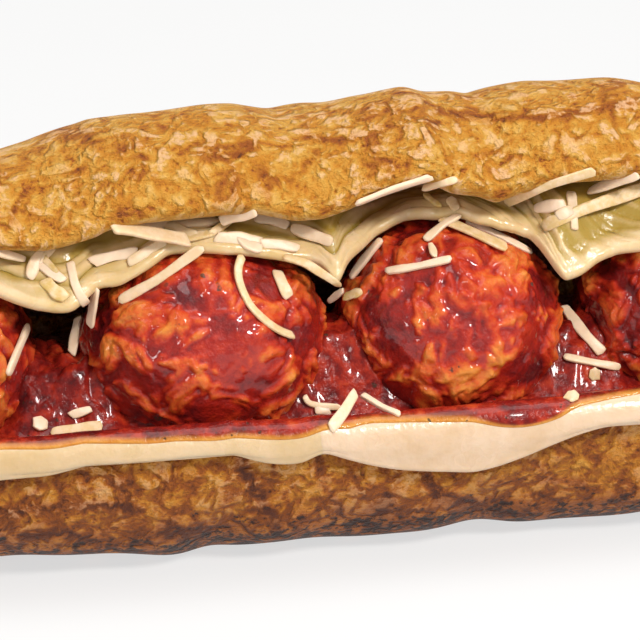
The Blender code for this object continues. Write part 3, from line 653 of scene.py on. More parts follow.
def crust_finish():
    """Baked crust with painted highlights on its high spots and painted shade in its low spots and clefts;
    low on the base it darkens, near black in patches, partly browner baking and partly painted shade; plain
    and soaked crumb on the cut.
    """
    f = Finish("crust")
    broad, fine = f.noise(12, 4, 0.6), f.noise(0.85, 4, 0.62)
    middle = f.noise(2.6, 5, 0.66, twist=0.2)
    folds = f.noise(4.2, 3, 0.5, twist=0.5).fold().between(0.0, 0.26)
    height = middle * 0.44 + folds * 0.18 + fine * 0.38
    dark = f.mark("dark")
    # Painted highlight: a pale pinkish colour on the high spots of the bump height, weaker on the base
    painted_ridge_highlight = height.between(0.535, 0.635) * (0.66 - dark * 0.72) * broad.between(0.32, 0.56)
    # Painted shade: toast rises, so the colour darkens, where the bump height is low, in the pits, along the
    # fold creases and where the relief mark marks a cleft
    pits = 1 - (middle * 0.6 + fine * 0.4).between(0.36, 0.425)
    toast = f.mark("toast") + (broad - 0.5) * 0.25 + (0.5 - height) * 0.85
    toast = toast + pits * 0.20 + (1 - folds) * 0.08
    toast = (toast + (0.72 - f.mark("relief")) * 0.50).clamped()
    crust_with_painted_light = f.ramp(toast, (0.0, (0.78, 0.48, 0.16)), (0.22, (0.68, 0.350, 0.055)),
                   (0.45, (0.56, 0.215, 0.016)), (0.68, (0.32, 0.082, 0.008)), (1.0, (0.075, 0.018, 0.008)))
    # Painted shade: a darker brown in the low spots of the bump height, mixed in on the base
    brown_with_painted_shade = f.mix(height.between(0.40, 0.60), (0.16, 0.034, 0.005), (0.56, 0.155, 0.016))
    crust_with_painted_light = f.mix(dark * 0.45, crust_with_painted_light, brown_with_painted_shade)
    crust_with_painted_light = f.mix(painted_ridge_highlight.clamped(), crust_with_painted_light, (0.84, 0.50, 0.29))
    # Near black in patches low on the base: partly char, partly painted shade under the roll
    char_and_painted_shade = (dark + (0.5 - middle) * 1.7 + (0.5 - fine) * 1.1).between(0.84, 1.04)
    crust_with_painted_light = f.mix(char_and_painted_shade * 0.9, crust_with_painted_light, (0.030, 0.012, 0.009))
    pores = f.spots(1.7).between(0.15, 0.6) * 0.6 + f.noise(1.2) * 0.4
    crumb = f.ramp(pores, (0.1, (0.50, 0.29, 0.11)), (0.7, (0.80, 0.58, 0.31)))
    soaked = f.ramp(f.noise(4, 4, 0.6), (0.3, (0.42, 0.13, 0.10)), (0.7, (0.62, 0.26, 0.19)))
    inside = f.mix(f.mark("stain"), crumb, soaked)
    cut = f.mark("crumb")
    f.set(Base_Color=f.mix(cut, crust_with_painted_light, inside))
    f.set(Roughness=0.36 + fine * 0.26 + cut * 0.15)
    f.set(Specular_IOR_Level=0.26)
    f.set(Normal=f.bump(height, 3.4, 1.0))
    return f.material


def meat_finish():
    """Minced meat under glossy sauce: orange where the coat is thin over a lump, dark red in the hollows,
    partly from thicker sauce there and partly as painted shade.
    """
    f = Finish("meatball")
    coat, relief = f.mark("coat"), f.mark("relief")
    broad, middle, fine = f.noise(9, 4, 0.6), f.noise(2.4, 5, 0.65), f.noise(0.8, 4, 0.6)
    # Darker where the relief is low: partly thicker sauce in the hollows, partly painted shade
    thick = 0.53 - (relief - 0.5) * 0.42 + (broad - 0.5) * 0.9
    thick = thick + (middle - 0.5) * 0.55 + (fine - 0.5) * 0.25
    thick = (thick + (coat - 0.55) * 0.26).clamped()
    colour = f.ramp(thick, (0.04, (0.64, 0.215, 0.035)), (0.20, (0.58, 0.100, 0.018)),
                    (0.36, (0.47, 0.034, 0.010)), (0.58, (0.31, 0.014, 0.008)),
                    (0.88, (0.095, 0.007, 0.009)))
    herb = f.noise(2.1, 2, 0.5).between(0.69, 0.73) * f.noise(13, 1).between(0.47, 0.6)
    f.set(Base_Color=f.mix(herb * 0.85, colour, (0.030, 0.032, 0.022)))
    f.set(Roughness=0.32 - coat * 0.10 + fine * 0.06, Specular_IOR_Level=0.15)
    f.set(Coat_Weight=0.35 + coat * 0.45, Coat_Roughness=0.03, Coat_IOR=1.5)
    f.set(Normal=f.bump(middle * 0.5 + fine * 0.3, 1.2, 0.7))
    return f.material


def sauce_finish():
    """Tomato sauce: deep red where thick, orange where it thins out over the cheese."""
    f = Finish("sauce")
    broad, middle, fine = f.noise(8, 4, 0.6), f.noise(2.0, 4, 0.6), f.noise(0.8, 2, 0.5)
    thick = f.ramp(broad * 0.5 + middle * 0.5, (0.34, (0.065, 0.005, 0.006)), (0.48, (0.19, 0.009, 0.006)),
                   (0.60, (0.36, 0.024, 0.009)), (0.74, (0.50, 0.080, 0.018)))
    thin = f.ramp(middle, (0.3, (0.50, 0.17, 0.022)), (0.7, (0.60, 0.28, 0.050)))
    herb = f.noise(1.5, 2, 0.5).between(0.70, 0.74)
    body = f.mix(f.mark("film"), thick, thin)
    f.set(Base_Color=f.mix(herb * 0.8, body, (0.03, 0.022, 0.012)))
    f.set(Roughness=0.22 + middle * 0.10, Specular_IOR_Level=0.15)
    f.set(Coat_Weight=0.42, Coat_Roughness=0.03, Coat_IOR=1.45)
    f.set(Normal=f.bump(middle * 0.75 + fine * 0.25, 0.8, 0.7))
    return f.material


def cheese_finish(name, pale, warm, deep):
    """Melted white cheese: smooth and soft, darkened to olive under the crown and between strands as painted
    shade, orange near sauce.
    """
    f = Finish(name)
    broad, middle, fine = f.noise(10, 3, 0.5), f.noise(2.4, 3, 0.55), f.noise(0.9, 2, 0.5)
    plain = f.ramp(broad * 0.6 + middle * 0.4, (0.32, warm), (0.62, pale))
    # Painted shade: the inner mark darkens the cheese towards the deep olive colour
    plain = f.mix((f.mark("inner") * (0.55 + broad * 0.9)).clamped(), plain, deep)
    stain = (f.mark("stain") + (middle - 0.5) * 0.6 * f.mark("stain")).clamped()
    tinted = f.mix(stain, plain, (0.58, 0.27, 0.060))
    f.set(Base_Color=tinted, Roughness=0.20 + broad * 0.14, Specular_IOR_Level=0.55)
    f.set(Subsurface_Weight=0.22, Subsurface_Radius=(1.0, 0.6, 0.3), Subsurface_Scale=0.0018)
    f.set(Normal=f.bump(middle * 0.6 + fine * 0.4, 0.45, 0.5))
    return f.material


def shred_finish():
    """Shredded cheese: cream, some strips more yellow or olive, with fine grain along them."""
    f = Finish("cheese_shreds")
    grain = f.noise(1.4, 3, 0.6)
    pale = f.mix(f.mark("tint"), (0.80, 0.595, 0.42), (0.56, 0.36, 0.07))
    shade = f.mix(grain.between(0.35, 0.7) * 0.5, pale, (0.87, 0.68, 0.51))
    f.set(Base_Color=f.mix(f.mark("stain"), shade, (0.72, 0.30, 0.11)))
    f.set(Roughness=0.34 + grain * 0.14)
    f.set(Subsurface_Weight=0.15, Subsurface_Radius=(1.0, 0.6, 0.3), Subsurface_Scale=0.0012)
    f.set(Normal=f.bump(grain, 0.30, 0.4))
    return f.material


def floor_finish():
    """A plain pale ground that is lit from within, so that shadows on it stay faint."""
    f = Finish("floor")
    f.set(Base_Color=f.mix(f.noise(60, 2), (0.24, 0.24, 0.24), (0.25, 0.25, 0.25)), Roughness=0.8)
    f.set(Emission_Color=(1, 1, 1, 1), Emission_Strength=0.64, Specular_IOR_Level=0.0)
    return f.material


# The roll

def plan_width(x):
    """The roll's width at x as a share of its greatest: (1 - |x/L|^p)^(1/p)."""
    return np.clip(1 - np.abs(x / ROLL_HALF_LENGTH) ** PLAN_POWER, 0, 1) ** (1 / PLAN_POWER)


def plan_stations(count):
    """Stations along the roll at even steps of its plan's outline, |x/L|^p + |y/W|^p = 1."""
    turn = np.linspace(-math.pi / 2, math.pi / 2, 6001)
    x = ROLL_HALF_LENGTH * np.sign(turn) * np.abs(np.sin(turn)) ** (2 / PLAN_POWER)
    y = ROLL_HALF_WIDTH * np.cos(turn).clip(0) ** (2 / PLAN_POWER)
    run = np.concatenate([[0], np.cumsum(np.hypot(np.diff(x), np.diff(y)))])
    return np.interp(np.linspace(0, run[-1], count), run, x)


def loaf_sections(x, depth, power, skin_columns, cut_columns):
    """Closed sections of half a loaf at stations x, as points (x, y, depth from the cut).

    The skin is where ((|x|^p + |y|^p)^(q/p) + |z|^q) = 1; the cut closes it in a straight line.
    """
    ends = np.abs(x / ROLL_HALF_LENGTH)[:, None] ** PLAN_POWER
    widest = plan_width(x)[:, None]
    turn = np.linspace(0, math.pi, 1201)
    across = widest * np.sign(np.cos(turn)) * np.abs(np.cos(turn)) ** (2 / PLAN_POWER)
    plan = np.clip(ends + np.abs(across) ** PLAN_POWER, 0, 1) ** (1 / PLAN_POWER)
    deep = np.clip(1 - plan**power, 0, 1) ** (1 / power)
    skin = even_rows(np.stack([across * ROLL_HALF_WIDTH, deep * depth], axis=-1), skin_columns)
    share = np.linspace(-1, 1, cut_columns + 2)[1:-1]
    cut = np.stack([widest * ROLL_HALF_WIDTH * share, np.zeros((len(x), cut_columns))], axis=-1)
    return at_stations(x, np.concatenate([skin, cut], axis=1))


def skin_swell(points, seed, rows):
    """Soft dents and swells of the baked skin, away from the loaf's middle line, with more low in front."""
    out = unit(points * (0, 1, 1))
    swell = 0.35 * MM * ripples(points, 34 * MM, seed) + 0.22 * MM * ripples(points, 15 * MM, seed + 1)
    front = smooth_step(0, -12 * MM, points[:, 1]) * smooth_step(9 * MM, 17 * MM, points[:, 2])
    return out * (swell + waves(rows, points[:, 0]) * front)[:, None]


def crust_detail(points, seed, rough):
    """The crust's crinkles in metres, and how far each point stands out of them, 0 in a cleft and 1 outside.

    Lumps, creases of three sizes in a warped space, pits and a few long cracks are summed; near
    the cut the creases run down the skin, and rough makes the small ones stronger.
    """
    bent = warped(points, (8 * MM, (seed + 5, seed + 6, seed + 7), 2.2 * MM),
                  (2.6 * MM, (seed + 8, seed + 9, seed + 4), 0.5 * MM))
    lumps = fractal(bent, 10 * MM, seed + 10, 4, 0.5)
    low = smooth_step(13 * MM, 5 * MM, points[..., 2])[..., None]
    grain = bent * (1 + low * (0.7, -0.45, -0.45))
    big = creases(bent, 8 * MM, seed + 20)
    mid = creases(grain, 3.8 * MM, seed + 21)
    small = creases(grain + 9, 1.9 * MM, seed + 22)
    patch = smooth_step(-0.2, 0.5, lattice_noise(points, 16 * MM, seed + 30))
    crack = np.abs(lattice_noise(bent, 15 * MM, seed + 40)) * 15
    cracks = 1 - smooth_step(0.0, 0.6, crack)
    cracks = cracks * smooth_step(0.0, 0.35, lattice_noise(points, 24 * MM, seed + 41))
    pits = smooth_step(0.40, 0.72, lattice_noise(bent, 3.4 * MM, seed + 50))
    height = 0.52 * lumps + 0.46 * (big - 0.6) + (0.22 + 0.20 * patch) * (mid - 0.5) * rough
    height += (0.12 + 0.08 * patch) * (small - 0.5) * rough - 0.5 * cracks - 0.40 * pits
    # open_air comes back as the relief mark, from which the crust's colour paints shade into the clefts
    open_air = 0.20 + 0.30 * smooth_step(0, 0.5, big) + 0.32 * smooth_step(0, 0.45, mid) + 0.18 * small
    open_air = (open_air + 0.12 * lumps) * (1 - 0.8 * cracks) * (1 - 0.6 * pits)
    return height * MM, np.clip(open_air, 0, 1)


def lip_round(section, columns):
    """The sections with their corners at the two lips rounded, by averaging neighbours there.

    The share of the average is a bell of LIP_BELL columns round each corner.
    """
    count = section.shape[1]
    index = np.arange(count)
    near = np.minimum(np.abs(index - columns), np.minimum(index, count - index))
    share = np.exp(-((near / LIP_BELL) ** 2))[None, :, None]
    for _ in range(LIP_PASSES):
        mean = (np.roll(section, 1, axis=1) + np.roll(section, -1, axis=1) + 2 * section) / 4
        section = section + (mean - section) * share
    return section


def roll_half(depth, power, seed, fit, swells, clefts, rough, skin_columns=170, cut_columns=74, rows=400):
    """One half of the roll: a loaf section carried along, crinkled on its skin and troughed on its cut.

    fit moves loaf points to where the half lies, and gives the cut face's own height. Comes back
    as the placed points, the loaf points, which are on the cut, and how far each stands out.
    """
    x = plan_stations(rows)
    loaf = loaf_sections(x, depth, power, skin_columns, cut_columns)
    flat = loaf.reshape(-1, 3)
    cut = np.tile(np.arange(skin_columns + cut_columns) >= skin_columns, rows)
    rim = np.clip(flat[:, 2] / (3 * MM), 0, 1)
    skin = np.where(cut, 0, np.minimum(flat[:, 2] / (depth / 2), 1))
    placed = fit(flat + skin_swell(flat, seed, swells) * skin[:, None], cut).reshape(loaf.shape)
    placed = lip_round(placed, skin_columns)
    detail, relief = crust_detail(flat, seed + 100, rough)
    normals = grid_normals(placed)
    if np.einsum("ijk,ijk->", normals, placed - placed.mean(axis=1, keepdims=True)) < 0:
        normals = -normals
    facing = smooth_step(0.0, 0.25, normals.reshape(-1, 3) @ view_axes()[0])
    deep = cleft_depth(placed.reshape(-1, 3), clefts) * facing
    ends = smooth_step(1.0, 0.985, np.abs(flat[:, 0]) / ROLL_HALF_LENGTH)
    crumb_detail = 0.25 * MM * fractal(flat, 2.5 * MM, seed + 200, 3, 0.6)
    detail = np.where(cut, crumb_detail, detail * (0.35 + 0.65 * rim) - deep) * (1 - ends)
    placed = placed + normals * detail.reshape(rows, -1)[..., None]
    return placed, flat, cut, relief * np.exp(-deep / (0.6 * MM))


def base_fit(points, cut):
    """The lower half turned cut side up, with the trough in its cut and a flat foot."""
    x, y = points[:, 0], points[:, 1] + ROLL_MIDDLE_Y
    z = CUT_HEIGHT - points[:, 2]
    bed = BED_Z - np.sqrt(np.maximum(trough_radius(x, TROUGH_RADIUS) ** 2 - (y - axis_y(x)) ** 2, 0))
    return np.stack([x, y, np.where(cut, np.minimum(z, bed), z)], axis=1)


def lip_drop(x):
    """How far the crown's front edge hangs below a straight line, so that it is seen along LIP_LINE."""
    y = ROLL_MIDDLE_Y - HINGE_Y - ROLL_HALF_WIDTH * plan_width(x)
    lip = np.stack([x, y * math.cos(OPENING) + HINGE_Y, CUT_HEIGHT - y * math.sin(OPENING)], axis=1)
    right, up = seen_places(lip).T
    line_x, line_up = np.transpose(LIP_LINE) * MM
    drop = (up - soft_line(right, line_x, line_up, 0.6 * MM)) / math.cos(VIEW_RISE)
    return drop / (y / (2 * ROLL_HALF_WIDTH)) ** 2 * smooth_step(86 * MM, 70 * MM, np.abs(x))


def crown_fit(points, cut):
    """The upper half with its own trough, turned back about the hinge, its front lip hanging unevenly."""
    x = points[:, 0]
    y = points[:, 1] + ROLL_MIDDLE_Y - HINGE_Y
    z = points[:, 2] * (1 - LEFT_FALL * np.minimum(x / ROLL_HALF_LENGTH, 0) ** 2)
    z = z + waves(CREST_SWELLS, x) * points[:, 2] / CROWN_DEPTH
    turn = np.array([[math.cos(OPENING), math.sin(OPENING)], [-math.sin(OPENING), math.cos(OPENING)]])
    back = np.stack([axis_y(x) - HINGE_Y, np.full_like(x, AXIS_Z - CUT_HEIGHT)], axis=1) @ turn
    round_part = trough_radius(x, CROWN_TROUGH_RADIUS) ** 2 - (y - back[:, 0]) ** 2
    z = np.where(cut, np.maximum(z, back[:, 1] + np.sqrt(np.maximum(round_part, 0))), z)
    turned = np.stack([y, z], axis=1) @ turn.T
    drop = lip_drop(x) * np.clip(-y / (2 * ROLL_HALF_WIDTH), 0, 1) ** 2
    return np.stack([x, turned[:, 0] + HINGE_Y, turned[:, 1] + CUT_HEIGHT - drop], axis=1)


def soaked_reach(x):
    """How far sauce has soaked the crumb at x: all of it along the filling, none near the roll's ends."""
    return smooth_step(SAUCE_REACH + 5 * MM, SAUCE_REACH - 3 * MM, np.abs(x))


def build_spine(finish):
    """The uncut strip at the roll's back: a bar whose radius goes with the root of the sine along it."""
    turn = np.linspace(0, 2 * math.pi, 48, endpoint=False)
    tip = np.linspace(0, math.pi, 160)[:, None]
    radius = SPINE_RADIUS * np.sin(tip) ** 0.5
    along = -np.cos(tip) * SPINE_HALF_LENGTH + 0 * turn
    bar = np.stack([along, radius * np.cos(turn), radius * np.sin(turn)], axis=-1) + SPINE_MIDDLE
    detail, relief = crust_detail(bar, 61, 1.0)
    bar[..., 1] += detail * np.cos(turn)
    plain = np.zeros(bar.shape[:2])
    grid_piece("roll_spine", bar, finish, "crust", "roll", crumb=plain, relief=relief, toast=plain + 0.42,
               stain=plain, dark=plain)


def build_roll(finish):
    """Both halves of the roll and the strip at their back; comes back as the crown.

    The skin's first millimetres round the crown's rim still count as skin.
    """
    placed, _, cut, relief = roll_half(BASE_DEPTH, BASE_POWER, 21, base_fit, FOOT_SWELLS, BASE_CLEFTS, 1.35)
    placed[..., 2] = np.maximum(placed[..., 2], 0)
    x, y, z = placed.reshape(-1, 3).T
    # Darker towards the bottom of the base: partly browner baking underneath, partly painted shade where the
    # skin turns under
    dark = smooth_step(0.30, 0.95, 1 - z / CUT_HEIGHT)
    stain = cut * smooth_step(-29.5 * MM, -26 * MM, y) * soaked_reach(x)
    grid_piece("roll_base", placed, finish, "crust", "roll", crumb=cut, relief=np.where(cut, 1, relief),
               toast=0.50 + 0.26 * dark, stain=stain, dark=0.45 + 0.55 * dark)
    placed, flat, cut, relief = roll_half(CROWN_DEPTH, CROWN_POWER, 31, crown_fit, (), CROWN_CLEFTS, 1.0)
    inward = ROLL_HALF_WIDTH * plan_width(flat[:, 0]) - np.abs(flat[:, 1])
    crumb = cut * smooth_step(2.6 * MM, 4.6 * MM, inward)
    toast = 0.30 - 0.05 * smooth_step(0.5, 1.0, flat[:, 2] / CROWN_DEPTH)
    stain = 0.9 * cut * smooth_step(6 * MM, 12 * MM, inward) * soaked_reach(flat[:, 0])
    crown = grid_piece("roll_crown", placed, finish, "crust", "roll", crumb=crumb, toast=toast,
                       relief=np.where(cut, 1, relief), stain=stain, dark=0 * stain)
    build_spine(finish)
    return crown


# The filling

def ball_shape(ball, rows=250, columns=352):
    """A meatball's points, and the marks of its coat and of how far each point stands out.

    The radius is that of the solid plus mince, which is warped noise with creases of two sizes;
    sauce fills the mince up to a level of its own, so the higher of the two shows.
    """
    tilt = np.linspace(0, math.pi, rows)[:, None]
    turn = np.linspace(0, 2 * math.pi, columns, endpoint=False)[None, :]
    ways = [-np.cos(tilt) + 0 * turn, np.sin(tilt) * np.cos(turn), np.sin(tilt) * np.sin(turn)]
    ways = np.stack(ways, axis=-1)
    spot = ways * ball.radius
    seed = ball.seed
    bent = warped(spot, (7 * MM, range(seed + 31, seed + 34), 2.4 * MM),
                  (2.5 * MM, range(seed + 34, seed + 37), 0.5 * MM))
    mince = 1.05 * fractal(bent, 8 * MM, seed + 60, 4, 0.55)
    mince += 0.9 * (creases(bent, 6 * MM, seed + 50) - 0.5)
    mince += 0.55 * (creases(bent, 2.8 * MM, seed + 51) - 0.5)
    mince += 0.22 * lattice_noise(bent, 1.4 * MM, seed + 61)
    level = -0.22 + 0.5 * fractal(spot, 12 * MM, seed + 70, 2, 0.5)
    level += 0.24 * lattice_noise(bent, 2.8 * MM, seed + 71)
    level += 0.09 * lattice_noise(spot, 1.5 * MM, seed + 72)
    soft = 0.12
    rise = level + soft * np.logaddexp(0, (mince - level) / soft)
    lumps = LUMP * ripples(spot, LUMP_WAVE, seed)
    half, radius = ball.half + lumps, ball.radius + lumps
    size = np.stack([half, radius, radius], axis=-1) + ((rise - 0.25) * 0.85 * MM)[..., None]
    centre = (ball.x, float(axis_y(ball.x)), AXIS_Z)
    return centre + ways * size, smooth_step(0.45, -0.15, mince - level), smooth_step(-1.1, 1.1, rise)


def drape_radius(x):
    """How far the filling's top stands from its axis: each ball's section, and SAG_RADIUS in the gaps."""
    total = SAG_RADIUS**SAG_POWER
    for ball in BALLS:
        section = ball.radius * np.sqrt(np.maximum(1 - ((x - ball.x) / ball.half) ** 2, 0))
        total = total + section**SAG_POWER
    return total ** (1 / SAG_POWER)


def back_radius(x):
    """How far from the axis the slices lie where the crown presses on them: less where its lip hangs."""
    roof = trough_radius(x, CROWN_TROUGH_RADIUS) - BACK_GAP - 0.5 * np.maximum(lip_drop(x), 0)
    return np.maximum(roof, drape_radius(x) + UPPER_CLEAR)


def seen_edge():
    """Where the upper edge's seen places lie on the drape: x and the angle from the top to the front."""
    x, y, z = np.moveaxis(ray_points(UPPER_EDGE), -1, 0)
    y, z = y - axis_y(x), z - AXIS_Z
    first = np.argmax(np.hypot(y, z) < drape_radius(x) + UPPER_CLEAR, axis=1)
    rows = np.arange(len(first))
    return x[rows, first], np.arctan2(-y[rows, first], z[rows, first])


def sheet_sections(x, path, half):
    """Closed sections of a sheet: out along a path offset by half its thickness, round its end, and back.

    path is one row of (y, z) per station and half the thickness at each of its points; the ends
    are half rounds.
    """
    along = unit(np.gradient(path, axis=1))
    side = np.stack([along[..., 1], -along[..., 0]], axis=-1)
    top = path + side * half[..., None]
    under = (path - side * half[..., None])[:, ::-1]
    turn = np.linspace(0, math.pi, SHEET_CAP + 2)[1:-1, None]
    front = path[:, -1:] + half[:, -1:, None] * (side[:, -1:] * np.cos(turn) + along[:, -1:] * np.sin(turn))
    back = path[:, :1] + half[:, :1, None] * (-side[:, :1] * np.cos(turn) - along[:, :1] * np.sin(turn))
    return at_stations(x, np.concatenate([top, front, under, back], axis=1))


def sheet_stations(x_from, x_to, rows, rim):
    """Stations along a sheet, bunched in both rims, and its share of thickness there, a quarter round."""
    edge = rim * (1 - np.cos(np.linspace(0, math.pi / 2, 10)))
    inner = np.linspace(x_from + rim, x_to - rim, rows)
    x = np.concatenate([x_from + edge[:-1], inner, (x_to - edge[:-1])[::-1]])
    past = np.maximum(np.maximum(x_from + rim - x, x - x_to + rim), 0) / rim
    return x, np.sqrt(np.clip(1 - past**2, 0, 1))


def strand_lines(x, from_edge):
    """Creases of two sizes, from 0 to 1: along the slice's edge, and leaning away from it on the right."""
    lean = 0.55 * smooth_step(20 * MM, 45 * MM, x)
    laid = np.stack([x * 0.16, from_edge + x * lean, 0 * x], axis=-1)
    return 0.62 * creases(laid, 3.4 * MM, STRAND_SEED) + 0.38 * creases(laid + 7, 1.7 * MM, STRAND_SEED + 1)


def upper_slice(name, piece, finish, rows=170, columns=110):
    """A slice draped over the balls, from under the crown to its wavy front edge, with a swollen rim.

    Seen from the filling's axis, its radius is the drape's plus the clearance, eased over to the
    crown's at the back; the strands and soft noise ripple it, and a bell along the edge swells
    the rim and draws it in.
    """
    x, thin = sheet_stations(piece.x_from - SLICE_OVERLAP, piece.x_to + SLICE_OVERLAP, rows, 0.15 * MM)
    edge = soft_line(x, *seen_edge(), 0.7 * MM)[:, None]
    share = np.linspace(0, 1, columns)
    angle = UPPER_BACK + (edge - UPPER_BACK) * share
    from_edge = (1 - share) * (edge - UPPER_BACK) * ARC_RADIUS
    stations = np.broadcast_to(x[:, None], angle.shape)
    strands = strand_lines(stations, from_edge)
    flat = np.stack([stations, angle * ARC_RADIUS, 0 * angle], axis=-1)
    wave = 0.26 * MM * fractal(flat, 5 * MM, STRAND_SEED + 2, 2, 0.5) + 0.55 * MM * (strands - 0.45)
    bead = np.exp(-((from_edge / (1.6 * MM)) ** 2))
    half = CHEESE_THICK / 2 * (1 + 0.20 * bead) * thin[:, None]
    radius = drape_radius(x)[:, None] + UPPER_CLEAR
    radius = radius + (back_radius(x)[:, None] - radius) * smooth_step(BACK_FROM, BACK_TO, from_edge)
    radius = radius + CHEESE_THICK / 2 + wave * (1 - 0.5 * bead) - 0.65 * MM * bead
    path = np.stack([axis_y(x)[:, None] - np.sin(angle) * radius, AXIS_Z + np.cos(angle) * radius], axis=-1)
    points = sheet_sections(x, path, half)
    stain = 0.25 * smooth_step(12 * MM, 3 * MM, points[..., 2] - AXIS_Z)
    # Painted shade: inner darkens the cheese to olive away from its front edge, under the crown, and in the
    # creases between strands
    inner = smooth_step(0.4 * MM, 3.2 * MM, from_edge) * smooth_step(1.05, 0.35, strands)
    cap = np.ones((len(x), SHEET_CAP))
    inner = np.concatenate([inner, 0 * cap, inner[:, ::-1], cap], axis=1)
    return grid_piece(piece_name(name), points, finish, "cheese", name, stain=stain, inner=inner)


def crust_front(x, depth):
    """The front skin of the base: y at x and at a depth below the cut."""
    across = np.clip(1 - (depth / BASE_DEPTH) ** BASE_POWER, 0, 1) ** (PLAN_POWER / BASE_POWER)
    across = np.maximum(across - np.abs(x / ROLL_HALF_LENGTH) ** PLAN_POWER, 0.01)
    return ROLL_MIDDLE_Y - ROLL_HALF_WIDTH * across ** (1 / PLAN_POWER)


def seen_droop():
    """Where the lower slices' seen edge lies on the base's front skin: x and the depth below the cut."""
    x, y, z = np.moveaxis(ray_points(LOWER_EDGE), -1, 0)
    depth = CUT_HEIGHT - z
    first = np.argmax(y > crust_front(x, np.clip(depth, 0, BASE_DEPTH)), axis=1)
    rows = np.arange(len(first))
    return x[rows, first], depth[rows, first] - EDGE_ALLOWANCE


def droop(x):
    """How far down the crust the lower slices hang at x."""
    return np.maximum(soft_line(x, *seen_droop(), 1.3 * MM), LEAST_DROOP)


def lower_path(x, share):
    """The bread under the lower slices, by the share of the way along it.

    TROUGH_SHARE of it is round in the trough and LIP_SHARE bends over the lip, a curve with one
    middle point; the rest runs down the crust.
    """
    angle = LOWER_BACK + (LOWER_FRONT - LOWER_BACK) * np.clip(share / TROUGH_SHARE, 0, 1)
    radius = trough_radius(x, TROUGH_RADIUS)
    bed = np.stack([axis_y(x) - radius * np.sin(angle), BED_Z - radius * np.cos(angle)], axis=-1)
    hang = droop(x)
    first = np.minimum(1.5 * MM, hang / 2)
    over = TROUGH_SHARE + LIP_SHARE
    down = first + (hang - first) * np.clip((share - over) / (1 - over), 0, 1)
    skin = np.stack([crust_front(x, down), CUT_HEIGHT - down], axis=-1)
    lip = np.stack([crust_front(x, 0 * x) - LIP_BULGE, np.full_like(x, CUT_HEIGHT + LIP_RISE)], axis=-1)
    t = np.clip((share - TROUGH_SHARE) / LIP_SHARE, 0, 1)[..., None]
    return (1 - t) ** 2 * bed + 2 * t * (1 - t) * lip + t**2 * skin


def laid_flat(x, share):
    """The lower slices' places at stations x and shares of the way, laid out flat."""
    return np.stack([np.broadcast_to(x[:, None], share.shape), share * PATH_LENGTH, 0 * share], axis=-1)


def lower_sheet(x, share):
    """The path of the lower slices, rounded, at stations x and shares; its outward side; and its swell.

    The path is averaged over a bell of PATH_BELL of its PATH_STEPS steps. The swell is a soft noise
    and a sine squared over the part that hangs, in metres.
    """
    places, starts = np.meshgrid(np.linspace(0, 1, PATH_STEPS + 1), x)
    rows = blurred(lower_path(starts, places), PATH_BELL)
    at = np.clip(share, 0, 1) * PATH_STEPS
    low = np.minimum(at.astype(int), PATH_STEPS - 1)
    part = (at - low)[..., None]
    station = np.arange(len(x))[:, None]
    path = rows[station, low] * (1 - part) + rows[station, low + 1] * part
    ways = unit(np.gradient(rows, axis=1))
    along = unit(ways[station, low] * (1 - part) + ways[station, low + 1] * part)
    side = np.stack([along[..., 1], -along[..., 0]], axis=-1)
    swell = 0.10 * MM * fractal(laid_flat(x, share), 9 * MM, 401, 2, 0.4)
    swell = swell + 0.30 * MM * np.sin(math.pi * np.clip((share - 0.62) / 0.38, 0, 1)) ** 2
    return path, side, swell


def cheese_top(swell):
    """How far the top of the lower slices stands from the bread's path."""
    return LOWER_CLEAR + CHEESE_THICK - SHEET_SINK + swell


def lower_slice(name, x_from, x_to, finish, rows=260, columns=112):
    """A slice laid in the trough and bent over the front lip, a little thicker where it hangs."""
    x, thin = sheet_stations(x_from, x_to, rows, 0.3 * MM)
    share = np.broadcast_to(np.linspace(0, 1, columns) ** 0.85, (len(x), columns))
    path, side, swell = lower_sheet(x, share)
    half = (CHEESE_THICK + swell) / 2 * thin[:, None]
    path = path + side * (LOWER_CLEAR + CHEESE_THICK / 2 + swell / 2 - SHEET_SINK)[..., None]
    points = sheet_sections(x, path, half)
    stain = 0.6 * smooth_step(-27.2 * MM, -25.0 * MM, points[..., 1])
    return grid_piece(piece_name(name), points, finish, "cheese", name, stain=stain, inner=0 * stain)


def tree_of(pieces):
    """One tree of the given pieces' faces, for rays and nearest places."""
    places, faces = [], []
    for piece in pieces:
        start = len(places)
        places.extend(v.co for v in piece.data.vertices)
        faces.extend([start + i for i in f.vertices] for f in piece.data.polygons)
    return BVHTree.FromPolygons(places, faces)


def saddle(x, ahead):
    """How far the sauce rises between two balls, at a distance ahead (less than 0) of the axis."""
    rise = sum(row.rise * np.exp(-(((x - row.x) / row.spread) ** 4)) for row in SADDLES)
    return rise * smooth_step(SADDLE_FRONT, SADDLE_TOP, ahead) * smooth_step(SADDLE_BACK, SADDLE_END, ahead)


def film_end(x, cheese_tree):
    """The share of the lower path where the sauce ends at x: there its seen edge meets the slices."""
    eye, ways = eye_rays(SAUCE_EDGE)
    hits = [cheese_tree.ray_cast(Vector(eye), Vector(way)) for way in ways]
    found = np.array([hit[0] for hit in hits if hit[0] is not None])
    shares = np.broadcast_to(np.linspace(0.45, 1.0, 400), (len(found), 400))
    path, side, swell = lower_sheet(found[:, 0], shares)
    tops = path + side * cheese_top(swell)[..., None]
    nearest = np.linalg.norm(tops - found[:, None, 1:], axis=2).argmin(axis=1)
    return soft_line(x, found[:, 0], shares[0, nearest], 1.2 * MM)


